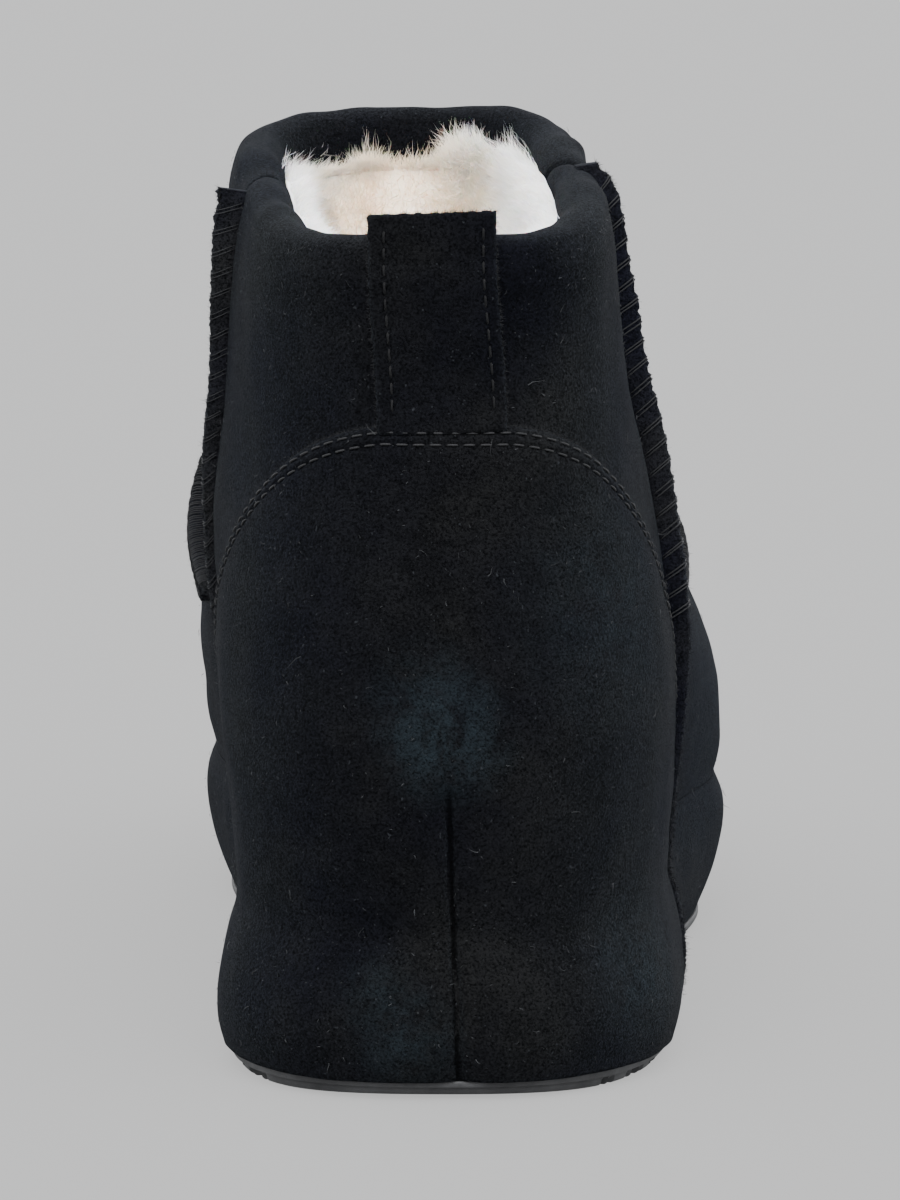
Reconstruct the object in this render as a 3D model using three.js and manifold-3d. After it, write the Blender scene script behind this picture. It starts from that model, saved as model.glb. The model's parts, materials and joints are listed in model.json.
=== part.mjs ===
// Sheepskin ankle boot for the right foot, on a flat platform covered in the same suede.
// Millimetres, +Z up, toes towards +Y, outer side of the foot towards +X, standing on Z = 0.
// One function, formPoint, is the outside of the whole boot, from the hem of the platform's cover up to the
// collar, over its roll and down the facing inside. Every soft piece is a skin between two offsets of it.
import * as THREE from "three";
import { mergeVertices } from "three/addons/utils/BufferGeometryUtils.js";
import Module from "manifold-3d";

const wasm = await Module();
wasm.setup();

// Driving dimensions of the foot's outline, measured over the suede
const SHOE_LENGTH = 268;
const HEEL_WIDTH = 83;
const ARCH_WIDTH = 85.5;
const BALL_WIDTH = 105;
const HEEL_SWING = 3.2; // the foot's middle line stands inwards by this at the heel,
const ARCH_SWING = 1.6; // outwards by this at the arch,
const TOE_SWING = 8.2; // and inwards by this at the toes

// Collar: its outer oval, how far it stands ahead of the heel's bulge, and its height at back and front
const COLLAR_LENGTH = 112;
const COLLAR_WIDTH = 66;
const COLLAR_SETBACK = 10;
const COLLAR_BACK_HEIGHT = 154.4;
const COLLAR_FRONT_HEIGHT = 169.3;
const COLLAR_LEAN = 1.8; // towards the inner side, at its back
const COLLAR_SKEW = 0.104; // and this much more for each length forwards
const COLLAR_TILT = 1.4; // the outer side stands this much higher, and the inner side this much lower
const ROLL_RADIUS = 4.6; // of the suede turned over at the top
const FACING_DEPTH = 11.5; // of the suede band inside the collar, below its crest

// Sole
const OUTSOLE_THICKNESS = 3.6;
const PLATFORM_HEEL_HEIGHT = 29.4;
const PLATFORM_BALL_HEIGHT = 30.8;
const TOE_SPRING = 10;
const TOE_SPRING_AT = 0.69; // of the length, where the toe begins to rise
const HEEL_BEVEL = 1.2;
const HEEL_BEVEL_RUN = 17;
const ARCH_RELIEF = 1.6;
const ARCH_RELIEF_RUN = 38; // to each side of the arch, where the outsole comes down to the floor again
const OUTSOLE_STEP = 0.9; // the outsole's rib stands out, and its foot draws in, by this much
const INSOLE_THICKNESS = 4;

// Tread: notches round the edge, but not at the heel's back and the toe's tip, and bars under heel and ball
const GROOVE_WIDTH = 2.6;
const GROOVE_DEPTH = 2;
const GROOVE_PITCH = 11;
const SIDE_GROOVE_LENGTH = 11;
const MIDDLE_GROOVE_LENGTH = 34;
const PLAIN_HEEL_END = 13;
const PLAIN_TOE_END = 12;
const BAR_FIELDS = [
  { from: 0.09, to: 0.3 }, // shares of the length
  { from: 0.56, to: 0.9 },
];

// Skins
const WALL = 2.4; // suede and the backing of the wool
const WOOL_PILE = 8.5;
const WOOL_PILE_IN_ROLL = 4;
const LOCK_RELIEF = 1.3; // the wool's locks stand out and sink in by this much
const LOCKS_ROUND = 9; // locks counted round the collar
const LOCK_SLANT = 1.7; // and how far they turn, row by row up the leg
const LOCK_ROWS = 2.6;
const FACING_THICKNESS = 1.6;
const COVER_THICKNESS = 1.3;
const TAB_THICKNESS = 1.4;
const FIT_GAP = 0.3;

// Raised seams, and the pull tab up the back
const SEAM_HEIGHT = 3.6;
const SEAM_WIDTH = 4.8;
const SIDE_SEAM_TOP_Y = 63;
const SIDE_SEAM_FOOT_Y = 71;
const INSTEP_SEAM_FOOT_HEIGHT = 80; // where the instep's seam meets the side seams
const INSTEP_SEAM_HEIGHT = 127;
const INSTEP_SEAM_FULLNESS = 1.15; // 1 is a plain arch, and more is narrower at its top
const TAB_WIDTH = 22.5;
const TAB_PROUD = 4.4; // above the collar's crest

// Heel cover, seen from the side: its top edge is level, then falls in a round shoulder to the side seams
const COVER_TOP_HEIGHT = 121;
const COVER_LEVEL_END_Y = 9;
const COVER_CORNER_HEIGHT = 64;
const COVER_SHOULDER = [
  { ahead: 0.62, up: 0.42 }, // shares of the way from the level edge's end to the corner, and up from it
  { ahead: 0.22, up: 0.9 },
];

// Where along a ring its heel, arch and ball widths hold, as shares of the ring's length
const HEEL_AT = 0.16;
const ARCH_AT = 0.41;
const OUTER_BALL_AT = 0.63;
const INNER_BALL_AT = 0.74;

// Mesh fineness: steps round half a ring, levels a row in the sole and the roll, and on the leg between them,
// and rings along the instep's seam
const HALF_RING_STEPS = 17;
const FINE_STEPS = 2;
const PLAIN_STEPS = 1;
const INSTEP_STEPS = 26;
const COVER_CURVE_STEPS = 8;
const SEARCH_STEPS = 40;

const { cos, sin, abs, min, max, sign, PI } = Math;
const clamp = (v, low = 0, high = 1) => min(high, max(low, v));
const mix = (a, b, share) => a + (b - a) * share;
const ease = (v) => clamp(v) ** 2 * (3 - 2 * clamp(v));
const steps = (n) => Array.from({ length: n + 1 }, (_, i) => i / n);

const COLLAR_FRONT = COLLAR_SETBACK + COLLAR_LENGTH;

// Lines of the sole, seen from the side

const springStart = SHOE_LENGTH * TOE_SPRING_AT;
const spring = (y) => TOE_SPRING * clamp((y - springStart) / (SHOE_LENGTH - springStart)) ** 2;
const bevel = (y) => HEEL_BEVEL * clamp(1 - y / HEEL_BEVEL_RUN) ** 2;
const groundLine = (y) => spring(y) + bevel(y);
const archLift = (y) => ARCH_RELIEF * (1 - ease(abs(y - SHOE_LENGTH * ARCH_AT) / ARCH_RELIEF_RUN));
const outsoleTop = (y) => spring(y) + OUTSOLE_THICKNESS;
const platformTop = (y) => {
  const run = (y / SHOE_LENGTH - HEEL_AT) / (OUTER_BALL_AT - HEEL_AT);
  return mix(PLATFORM_HEEL_HEIGHT, PLATFORM_BALL_HEIGHT, ease(run)) + spring(y);
};

// The sections, from the sole up. back: 0 at the heel's bulge, 1 at the collar's back. front: 1 at the toe,
// 0 at the collar's front. heel, arch, ball: half widths, 0 being the collar's and 1 the foot's. rise and
// riseFront: share of the height at the back and at the front, of the platform's cover or of the upper above
// it. heelRound, toeRound: the rounded ends, as shares of the length. square: 2 is an ellipse's end.
const sections = (columns, table) =>
  table.map((values) => Object.fromEntries(columns.split(" ").map((name, i) => [name, values[i]])));

const COVER_ROWS = sections("back front heel arch ball rise heelRound toeRound square", [
  [0.22, 0.972, 0.82, 0.41, 0.74, 0, 0.17, 0.34, 2.4],
  [0.03, 0.998, 0.96, 0.58, 0.88, 0.22, 0.17, 0.34, 2.4],
  [0.04, 1, 0.92, 0.63, 0.985, 0.5, 0.17, 0.34, 2.4],
  [0.2, 0.992, 0.74, 0.47, 1.01, 0.82, 0.17, 0.34, 2.3],
  [0.33, 0.975, 0.59, 0.34, 0.92, 1, 0.17, 0.34, 2.3],
]);
const UPPER_ROWS = sections("back front heel arch ball rise riseFront heelRound toeRound square", [
  [0.24, 0.993, 0.61, 0.48, 0.99, 0.06, 0.06, 0.17, 0.34, 2.3],
  [0.08, 1, 0.7, 0.72, 1.01, 0.157, 0.14, 0.18, 0.34, 2.3],
  [0, 0.983, 0.82, 0.93, 0.91, 0.26, 0.225, 0.19, 0.35, 2.3],
  [0.06, 0.918, 0.89, 1.05, 0.75, 0.36, 0.3, 0.2, 0.38, 2.25],
  [0.22, 0.788, 0.85, 1.13, 0.5, 0.47, 0.37, 0.22, 0.42, 2.25],
  [0.44, 0.58, 0.72, 1, 0.29, 0.58, 0.45, 0.26, 0.45, 2.3],
  [0.67, 0.345, 0.53, 0.71, 0.15, 0.7, 0.55, 0.32, 0.48, 2.35],
  [0.86, 0.145, 0.34, 0.37, 0.09, 0.82, 0.69, 0.4, 0.48, 2.5],
  [0.96, 0.035, 0.16, 0.22, 0.03, 0.92, 0.845, 0.46, 0.42, 2.9],
  [1, 0, 0, 0, 0, 1, 1, 0.5, 0.34, 3.4],
]);
// The roll at the collar, by its angle in degrees, and then the end of the facing
const ROLL_ANGLES = [40, 90, 140, 180];

// Levels are row numbers, whole at each section
const CREASE_LEVEL = COVER_ROWS.length - 1;
const COLLAR_LEVEL = CREASE_LEVEL + UPPER_ROWS.length;
const CREST_LEVEL = COLLAR_LEVEL + 2;
const FACING_LEVEL = COLLAR_LEVEL + ROLL_ANGLES.length + 1;
const FINE_TO_LEVEL = CREASE_LEVEL + 3;

// The foot's middle line, which straightens up the leg
function swing(y, upLeg) {
  const at = y / SHOE_LENGTH;
  const rear = mix(-HEEL_SWING, ARCH_SWING, ease(at / ARCH_AT));
  const ball = mix(rear, 0, ease((at - ARCH_AT) / (OUTER_BALL_AT - ARCH_AT)));
  return mix(ball, -TOE_SWING, ease((at - OUTER_BALL_AT) / (1 - OUTER_BALL_AT))) * (1 - upLeg);
}

// One section's point at an angle: 0 at the heel, PI/2 on the outer side, PI at the toe.
function sectionPoint(row, angle) {
  const inset = row.inset ?? 0;
  const back = row.back * COLLAR_SETBACK + inset;
  const front = mix(COLLAR_FRONT, SHOE_LENGTH, row.front) - inset;
  const run = (1 - cos(angle)) / 2;
  const y = mix(back, front, run);
  const half = (share, width) => mix(COLLAR_WIDTH, width, share) / 2 - inset;
  const heelToArch = ease((run - HEEL_AT) / (ARCH_AT - HEEL_AT));
  const ballAt = sin(angle) < 0 ? INNER_BALL_AT : OUTER_BALL_AT;
  const archToBall = ease((run - ARCH_AT) / (ballAt - ARCH_AT));
  const rear = mix(half(row.heel, HEEL_WIDTH), half(row.arch, ARCH_WIDTH), heelToArch);
  const width = mix(rear, half(row.ball, BALL_WIDTH), archToBall);
  const short = max(1 - run / row.heelRound, 1 - (1 - run) / row.toeRound, 0);
  const rounding = (1 - short ** row.square) ** (1 / row.square);
  const side = sin(angle) < 0 ? -1 : 1;

  let z;
  let upLeg = 0;
  if (row.riseFront === undefined) {
    z = mix(outsoleTop(y), platformTop(y), row.rise);
  } else {
    const drop = row.drop ?? 0;
    const low = platformTop(back);
    const lowFront = platformTop(front);
    const high = mix(low, COLLAR_BACK_HEIGHT - ROLL_RADIUS, row.rise);
    const highFront = mix(lowFront, COLLAR_FRONT_HEIGHT - ROLL_RADIUS, row.riseFront);
    const sole = platformTop(y) - mix(low, lowFront, run);
    z = mix(high, highFront, run) + sole * (1 - ease(row.rise * 2)) - drop;
    upLeg = ease(row.rise);
  }
  const lean = (COLLAR_LEAN + COLLAR_SKEW * (y - COLLAR_SETBACK)) * upLeg;
  const x = side * width * rounding + swing(y, upLeg) - lean;
  const tilt = COLLAR_TILT * upLeg * ((x + lean) / (COLLAR_WIDTH / 2));
  return new THREE.Vector3(x, y, z + tilt);
}

function rollRow(angle, extraDrop = 0) {
  const turn = (angle * PI) / 180;
  const collar = UPPER_ROWS[UPPER_ROWS.length - 1];
  return { ...collar, inset: ROLL_RADIUS * (1 - cos(turn)), drop: extraDrop - ROLL_RADIUS * sin(turn) };
}

const ROWS = [
  ...COVER_ROWS,
  ...UPPER_ROWS,
  ...ROLL_ANGLES.map((angle) => rollRow(angle)),
  rollRow(180, FACING_DEPTH - ROLL_RADIUS),
];

// A smooth curve through the sections' points at one angle, by their distance apart
function formPoint(angle, level) {
  const last = ROWS.length - 1;
  const i = min(last - 1, max(0, Math.floor(level)));
  const at = (k) => sectionPoint(ROWS[clamp(k, 0, last)], angle);
  const [before, start, end, after] = [at(i - 1), at(i), at(i + 1), at(i + 2)];
  const gap = max(1e-6, start.distanceTo(end));
  const slope = (a, b, c) => {
    const [g0, g1] = [a.distanceTo(b), b.distanceTo(c)];
    if (g0 < 1e-6) return c.clone().sub(b).divideScalar(g1);
    if (g1 < 1e-6) return b.clone().sub(a).divideScalar(g0);
    const first = b.clone().sub(a).divideScalar(g0);
    const second = c.clone().sub(b).divideScalar(g1);
    return first.multiplyScalar(g1).addScaledVector(second, g0).divideScalar(g0 + g1);
  };
  const leave = slope(before, start, end).multiplyScalar(gap);
  const arrive = slope(start, end, after).multiplyScalar(gap);
  const s = level - i;
  return start
    .multiplyScalar(2 * s ** 3 - 3 * s ** 2 + 1)
    .addScaledVector(leave, s ** 3 - 2 * s ** 2 + s)
    .addScaledVector(end, 3 * s ** 2 - 2 * s ** 3)
    .addScaledVector(arrive, s ** 3 - s ** 2);
}

function formNormal(angle, level) {
  const step = 0.02;
  const [low, high] = [max(0, level - step), min(FACING_LEVEL, level + step)];
  const around = formPoint(angle + step, level).sub(formPoint(angle - step, level));
  const up = formPoint(angle, high).sub(formPoint(angle, low));
  return around.cross(up).normalize();
}

const offsetPoint = (angle, level, offset) =>
  formPoint(angle, level).addScaledVector(formNormal(angle, level), offset);

// The level at which the form's line at an angle reaches a height, below the collar's crest
function levelAtHeight(angle, height) {
  let [low, high] = [0, CREST_LEVEL];
  for (let n = 0; n < SEARCH_STEPS; n++) {
    const middle = (low + high) / 2;
    if (formPoint(angle, middle).z < height) low = middle;
    else high = middle;
  }
  return (low + high) / 2;
}

// The angle on one side (1 outer, -1 inner) at which a level's ring reaches a length from the heel
function angleAtLength(y, level, side) {
  let [low, high] = [0, PI];
  for (let n = 0; n < SEARCH_STEPS; n++) {
    const middle = (low + high) / 2;
    if (formPoint(side * middle, level).y < y) low = middle;
    else high = middle;
  }
  return (side * (low + high)) / 2;
}

// Closed meshes from grids of points

function meshOf(points, triangles) {
  const geometry = new THREE.BufferGeometry();
  const numbers = points.flatMap((p) => [p.x, p.y, p.z]);
  geometry.setAttribute("position", new THREE.Float32BufferAttribute(numbers, 3));
  geometry.setIndex(triangles);
  return geometry;
}

function quad(triangles, a, b, c, d) {
  triangles.push(a, b, c, a, c, d);
}

// The sides between closed rings of equal length. All grids split their quads along the same diagonal, so
// that two offsets of one surface stay apart.
function ringSides(triangles, start, rings, facingOut) {
  const n = rings[0].length;
  for (let r = 0; r + 1 < rings.length; r++) {
    for (let i = 0; i < n; i++) {
      const low = start + r * n;
      const [a, b, c, d] = [low + i, low + ((i + 1) % n), low + n + ((i + 1) % n), low + n + i];
      if (facingOut) quad(triangles, a, b, c, d);
      else quad(triangles, a, d, c, b);
    }
  }
}

// A solid with rings from the bottom up, closed by strips across its ends, which suit a foot's outline
function solidOfRings(rings) {
  const n = rings[0].length;
  const triangles = [];
  ringSides(triangles, 0, rings, true);
  for (const start of [0, (rings.length - 1) * n]) {
    for (let i = 0; i < n / 2; i++) {
      const [a, b, c, d] = [i, i + 1, n - i - 1, n - i].map((k) => start + (k % n));
      const across = i === 0 ? [[a, b, c]] : i === n / 2 - 1 ? [[a, b, d]] : [[a, b, c], [a, c, d]];
      for (const t of across) triangles.push(...(start ? t : t.reverse()));
    }
  }
  return meshOf(rings.flat(), triangles);
}

// A hollow shell between outer and inner rings, each from the bottom up, open at both ends
function shellOfRings(outer, inner) {
  const n = outer[0].length;
  const under = outer.length * n;
  const triangles = [];
  ringSides(triangles, 0, outer, true);
  ringSides(triangles, under, inner, false);
  const [outerTop, innerTop] = [under - n, under + (inner.length - 1) * n];
  for (let i = 0; i < n; i++) {
    const next = (i + 1) % n;
    quad(triangles, next, i, under + i, under + next);
    quad(triangles, outerTop + i, outerTop + next, innerTop + next, innerTop + i);
  }
  return meshOf([...outer, ...inner].flat(), triangles);
}

// A sheet of thickness, with rows of points across its outer and its inner face
function solidOfSheet(outer, inner) {
  const rows = outer.length;
  const n = outer[0].length;
  const points = [...outer.flat(), ...inner.flat()];
  const triangles = [];
  const id = (r, i) => r * n + i;
  const under = rows * n;
  for (let r = 0; r + 1 < rows; r++) {
    for (let i = 0; i + 1 < n; i++) {
      const [a, b, c, d] = [id(r, i), id(r, i + 1), id(r + 1, i + 1), id(r + 1, i)];
      quad(triangles, a, b, c, d);
      quad(triangles, under + a, under + d, under + c, under + b);
    }
  }
  const edge = (a, b) => quad(triangles, b, a, under + a, under + b);
  for (let i = 0; i + 1 < n; i++) {
    edge(id(0, i), id(0, i + 1));
    edge(id(rows - 1, i + 1), id(rows - 1, i));
  }
  for (let r = 0; r + 1 < rows; r++) {
    edge(id(r, n - 1), id(r + 1, n - 1));
    edge(id(r + 1, 0), id(r, 0));
  }
  return meshOf(points, triangles);
}

const ringAngles = steps(HALF_RING_STEPS * 2).slice(0, -1).map((share) => share * 2 * PI);
const levelsBetween = (from, to) => {
  const every = ROWS.flatMap((row, i) => {
    const count = i < FINE_TO_LEVEL || i >= COLLAR_LEVEL ? FINE_STEPS : PLAIN_STEPS;
    return steps(count).slice(0, -1).map((share) => i + share);
  });
  return [from, ...every.filter((level) => level > from + 0.05 && level < to - 0.05), to];
};
const ringAt = (level, offset) => ringAngles.map((angle) => offsetPoint(angle, level, offset));
const moved = (ring, dz) => ring.map((p) => new THREE.Vector3(p.x, p.y, p.z + dz));

// Boolean work
function toManifold(geometry) {
  const bare = geometry.clone();
  for (const name of Object.keys(bare.attributes)) {
    if (name !== "position") bare.deleteAttribute(name);
  }
  const merged = mergeVertices(bare, 1e-4);
  return new wasm.Manifold(
    new wasm.Mesh({
      numProp: 3,
      vertProperties: merged.attributes.position.array,
      triVerts: new Uint32Array(merged.index.array),
    }),
  );
}

function toGeometry(manifold) {
  const mesh = manifold.getMesh();
  const geometry = new THREE.BufferGeometry();
  geometry.setAttribute("position", new THREE.BufferAttribute(new Float32Array(mesh.vertProperties), 3));
  geometry.setIndex([...mesh.triVerts]);
  return geometry;
}

// The whole form drawn out by an offset, closed at its hem and across its top
function formSolid(offset, topLevel) {
  const rings = levelsBetween(0, topLevel).map((level) => ringAt(level, offset));
  return toManifold(solidOfRings(rings));
}

// Sole pieces

// The outsole's ring: the hem's outline drawn in or out, at a height above the ground line
function outsoleRing(offset, heightAt) {
  return ringAngles.map((angle) => {
    const p = formPoint(angle, 0);
    const normal = formNormal(angle, 0).setZ(0).normalize();
    p.addScaledVector(normal, offset);
    return p.setZ(heightAt(p.y));
  });
}

function treadGrooves() {
  const grooves = [];
  // Each groove's top follows the ground line from end to end, so that its depth stays the same at the toe
  const cut = (x, y, turn, length) => {
    const box = new THREE.BoxGeometry(length, GROOVE_WIDTH, 1).rotateZ(turn).translate(x, y, 0);
    const corners = box.attributes.position;
    for (let i = 0; i < corners.count; i++) {
      const top = corners.getZ(i) > 0;
      corners.setZ(i, groundLine(corners.getY(i)) + (top ? GROOVE_DEPTH : -OUTSOLE_THICKNESS));
    }
    grooves.push(toManifold(box));
  };
  const edge = ringAngles.map((angle) => formPoint(angle, 0));
  let walked = 0;
  edge.forEach((point, i) => {
    const next = edge[(i + 1) % edge.length];
    const along = next.clone().sub(point).setZ(0);
    const length = along.length();
    for (let at = GROOVE_PITCH - (walked % GROOVE_PITCH); at <= length; at += GROOVE_PITCH) {
      const p = point.clone().lerp(next, at / length);
      const plain = p.y < PLAIN_HEEL_END || p.y > SHOE_LENGTH - PLAIN_TOE_END;
      if (!plain) cut(p.x, p.y, Math.atan2(-along.x, along.y), SIDE_GROOVE_LENGTH * 2);
    }
    walked += length;
  });
  for (const { from, to } of BAR_FIELDS) {
    for (let y = SHOE_LENGTH * from; y <= SHOE_LENGTH * to; y += GROOVE_PITCH) {
      cut(swing(y, 0), y, 0, MIDDLE_GROOVE_LENGTH);
    }
  }
  return grooves;
}

// Rings above the tread: how far out in steps of the rib, and how far up as a share of the thickness
const OUTSOLE_RINGS = [
  { out: -1, up: 0.16 },
  { out: -1 / 2, up: 0.56 },
  { out: 1 / 3, up: 0.66 },
  { out: 1 / 3, up: 1 },
];

function outsole() {
  const foot = outsoleRing(-OUTSOLE_STEP * 2, (y) => groundLine(y) + archLift(y));
  const rings = OUTSOLE_RINGS.map(({ out, up }) =>
    outsoleRing(out * OUTSOLE_STEP, (y) => mix(groundLine(y), outsoleTop(y) - FIT_GAP, up)),
  );
  let body = toManifold(solidOfRings([foot, ...rings]));
  for (const groove of treadGrooves()) body = body.subtract(groove);
  return toGeometry(body);
}

function platform() {
  const rings = levelsBetween(0, CREASE_LEVEL).map((level) => ringAt(level, 0));
  const top = rings.pop();
  return solidOfRings([...rings, moved(top, -FIT_GAP)]);
}

const insoleClear = WALL + FIT_GAP * 2;
function insole() {
  const low = ringAngles.map((angle) => {
    const p = formPoint(angle, CREASE_LEVEL);
    p.addScaledVector(formNormal(angle, CREASE_LEVEL).setZ(0).normalize(), -insoleClear);
    return p.setZ(platformTop(p.y));
  });
  return solidOfRings([low, moved(low, INSOLE_THICKNESS)]);
}

// Upper pieces

const seated = (ring, lift) => ring.map((p) => new THREE.Vector3(p.x, p.y, platformTop(p.y) + lift));

function upper() {
  const levels = levelsBetween(CREASE_LEVEL, CREST_LEVEL);
  const outer = levels.map((level) => ringAt(level, 0));
  const inner = levels.map((level) => ringAt(level, -WALL));
  outer[0] = seated(outer[0], 0);
  inner[0] = seated(inner[0], 0);
  return shellOfRings(outer, inner);
}

const crestStep = ((ROLL_ANGLES[2] - ROLL_ANGLES[1]) / 180) * PI * ROLL_RADIUS;
const facingStart = CREST_LEVEL + FIT_GAP / crestStep;
function collarFacing() {
  const levels = levelsBetween(facingStart, FACING_LEVEL);
  const seen = levels.map((level) => ringAt(level, 0));
  const hidden = levels.map((level) => ringAt(level, -FACING_THICKNESS));
  return shellOfRings(seen, hidden);
}

// Locks of wool: a woven pattern of swells that leans over as it goes up
function lockRelief(angle, level) {
  const round = sin(LOCKS_ROUND * angle + LOCK_SLANT * level);
  return LOCK_RELIEF * round * cos(LOCK_ROWS * level - (LOCKS_ROUND / 2) * angle);
}

// All that is below the insole's top
function underFoot(lift) {
  const wide = ringAt(CREASE_LEVEL, WALL * 4);
  return toManifold(solidOfRings([moved(seated(wide, 0), -WALL * 8), seated(wide, lift)]));
}

function woolLining() {
  const outside = -(WALL + FIT_GAP);
  const facingFoot = COLLAR_BACK_HEIGHT - FACING_DEPTH;
  const inRoll = levelAtHeight(0, facingFoot - LOCK_RELIEF * 4);
  const thinner = levelAtHeight(0, facingFoot - LOCK_RELIEF);
  const levels = [...levelsBetween(CREASE_LEVEL, inRoll), ...levelsBetween(thinner, COLLAR_LEVEL)];
  const depth = (angle, level) =>
    level > inRoll ? WOOL_PILE_IN_ROLL : WOOL_PILE + lockRelief(angle, level);
  const outer = levels.map((level) => ringAt(level, -WALL / 2));
  const inner = levels.map((level) =>
    ringAngles.map((angle) => offsetPoint(angle, level, outside - depth(angle, level))),
  );
  const pile = toManifold(shellOfRings(outer, inner));
  const room = formSolid(outside, COLLAR_LEVEL).subtract(underFoot(INSOLE_THICKNESS + FIT_GAP));
  return toGeometry(pile.intersect(room));
}

// Trim that follows the form

const seamLength = (z) => mix(SIDE_SEAM_FOOT_Y, SIDE_SEAM_TOP_Y, clamp(z / COLLAR_BACK_HEIGHT));
const seamAngle = (level, side) => {
  const z = formPoint((side * PI) / 2, level).z;
  return angleAtLength(seamLength(z), level, side);
};

// Across a ridge: shares of the seam's width and height. Its foot is below the form, which is cut off it.
const RIDGE_PROFILE = [
  { wide: -0.5, high: -0.4 },
  { wide: 0.5, high: -0.4 },
  { wide: 0.5, high: 0.72 },
  { wide: 0.26, high: 1 },
  { wide: -0.26, high: 1 },
  { wide: -0.5, high: 0.72 },
];

// A rounded ridge along a path of [angle, level] pairs on the form
function ridge(path) {
  const centres = path.map(([angle, level]) => formPoint(angle, level));
  const rings = path.map(([angle, level], i) => {
    const normal = formNormal(angle, level);
    const along = centres[min(i + 1, path.length - 1)].clone().sub(centres[max(i - 1, 0)]).normalize();
    const across = normal.clone().cross(along).normalize();
    return RIDGE_PROFILE.map(({ wide, high }) => {
      const foot = centres[i].clone().addScaledVector(across, wide * SEAM_WIDTH);
      return foot.addScaledVector(normal, high * SEAM_HEIGHT);
    });
  });
  return toGeometry(toManifold(solidOfTube(rings)).subtract(formSolid(FIT_GAP, CREST_LEVEL)));
}

// Rings of a bar's outline, closed at both ends by fans
function solidOfTube(rings) {
  const n = rings[0].length;
  const points = rings.flat();
  const triangles = [];
  const id = (ring, i) => ring * n + (i % n);
  for (let r = 0; r + 1 < rings.length; r++) {
    for (let i = 0; i < n; i++) quad(triangles, id(r, i), id(r, i + 1), id(r + 1, i + 1), id(r + 1, i));
  }
  const top = rings.length - 1;
  for (let i = 1; i + 1 < n; i++) {
    triangles.push(id(0, 0), id(0, i + 1), id(0, i));
    triangles.push(id(top, 0), id(top, i), id(top, i + 1));
  }
  return meshOf(points, triangles);
}

// Levels where the side seams begin, just above the hem, and where they end on the roll
const SEAM_HEM_LEVEL = 0.15;
const OUTER_SEAM_RIM_LEVEL = COLLAR_LEVEL + 1;
const INNER_SEAM_RIM_LEVEL = COLLAR_LEVEL + 0.4;

function sideSeam(side) {
  const rim = side > 0 ? OUTER_SEAM_RIM_LEVEL : INNER_SEAM_RIM_LEVEL;
  return ridge(levelsBetween(SEAM_HEM_LEVEL, rim).map((level) => [seamAngle(level, side), level]));
}

// It starts and ends clear of the side seams, just above where it would meet them
function instepSeam() {
  const foot = INSTEP_SEAM_FOOT_HEIGHT + SEAM_WIDTH / 2;
  const clear = SEAM_WIDTH / 2 + FIT_GAP * 3;
  const endAngle = (side) => {
    const level = levelAtHeight((side * PI) / 2, foot);
    return angleAtLength(seamLength(INSTEP_SEAM_FOOT_HEIGHT) + clear, level, side);
  };
  const [start, finish] = [endAngle(1), 2 * PI + endAngle(-1)];
  const path = steps(INSTEP_STEPS).map((share) => {
    const angle = mix(start, finish, share);
    const height = mix(foot, INSTEP_SEAM_HEIGHT, sin(share * PI) ** INSTEP_SEAM_FULLNESS);
    return [angle, levelAtHeight(angle, height)];
  });
  return ridge(path);
}

// The heel cover is cut from a shell round the form by its outline, seen from the side: level across the
// back, falling in a round shoulder to the side seams, and down along them to the hem.
function heelCover() {
  const clear = SEAM_WIDTH / 2 + FIT_GAP * 2;
  const shell = formSolid(FIT_GAP + COVER_THICKNESS, COLLAR_LEVEL).subtract(formSolid(FIT_GAP, COLLAR_LEVEL));
  const corner = seamLength(COVER_CORNER_HEIGHT) - clear;
  const hem = OUTSOLE_THICKNESS + FIT_GAP;
  const behind = -SHOE_LENGTH / 4;
  const controls = COVER_SHOULDER.flatMap(({ ahead, up }) => [
    mix(COVER_LEVEL_END_Y, corner, ahead),
    mix(COVER_CORNER_HEIGHT, COVER_TOP_HEIGHT, up),
  ]);
  const side = new THREE.Shape();
  side.moveTo(behind, hem);
  side.lineTo(seamLength(0) - clear, hem);
  side.lineTo(corner, COVER_CORNER_HEIGHT);
  side.bezierCurveTo(...controls, COVER_LEVEL_END_Y, COVER_TOP_HEIGHT);
  side.lineTo(behind, COVER_TOP_HEIGHT);
  const options = { depth: SHOE_LENGTH, bevelEnabled: false, curveSegments: COVER_CURVE_STEPS };
  const cutter = new THREE.ExtrudeGeometry(side, options);
  cutter.translate(0, 0, -SHOE_LENGTH / 2);
  // the outline's length is turned to lie along Y and its height along Z
  cutter.rotateX(PI / 2).rotateZ(PI / 2);
  return toGeometry(shell.intersect(toManifold(cutter)));
}

function pullTab() {
  const foot = levelAtHeight(0, COVER_TOP_HEIGHT + FIT_GAP * 2);
  const levels = levelsBetween(foot, COLLAR_LEVEL);
  const columns = steps(6).map((share) => (share - 0.5) * TAB_WIDTH);
  const angleAcross = (x, level) => {
    const centre = formPoint(0, level).x;
    let [low, high] = [0, PI / 2];
    for (let n = 0; n < SEARCH_STEPS; n++) {
      const middle = (low + high) / 2;
      if (abs(formPoint(sign(x) * middle, level).x - centre) < abs(x)) low = middle;
      else high = middle;
    }
    return (sign(x) * (low + high)) / 2;
  };
  const sheet = (offset) => {
    const rows = levels.map((level) => columns.map((x) => offsetPoint(angleAcross(x, level), level, offset)));
    return [...rows, moved(rows[rows.length - 1], ROLL_RADIUS + TAB_PROUD)];
  };
  return solidOfSheet(sheet(FIT_GAP + TAB_THICKNESS), sheet(FIT_GAP));
}

// Materials and the assembly

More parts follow.
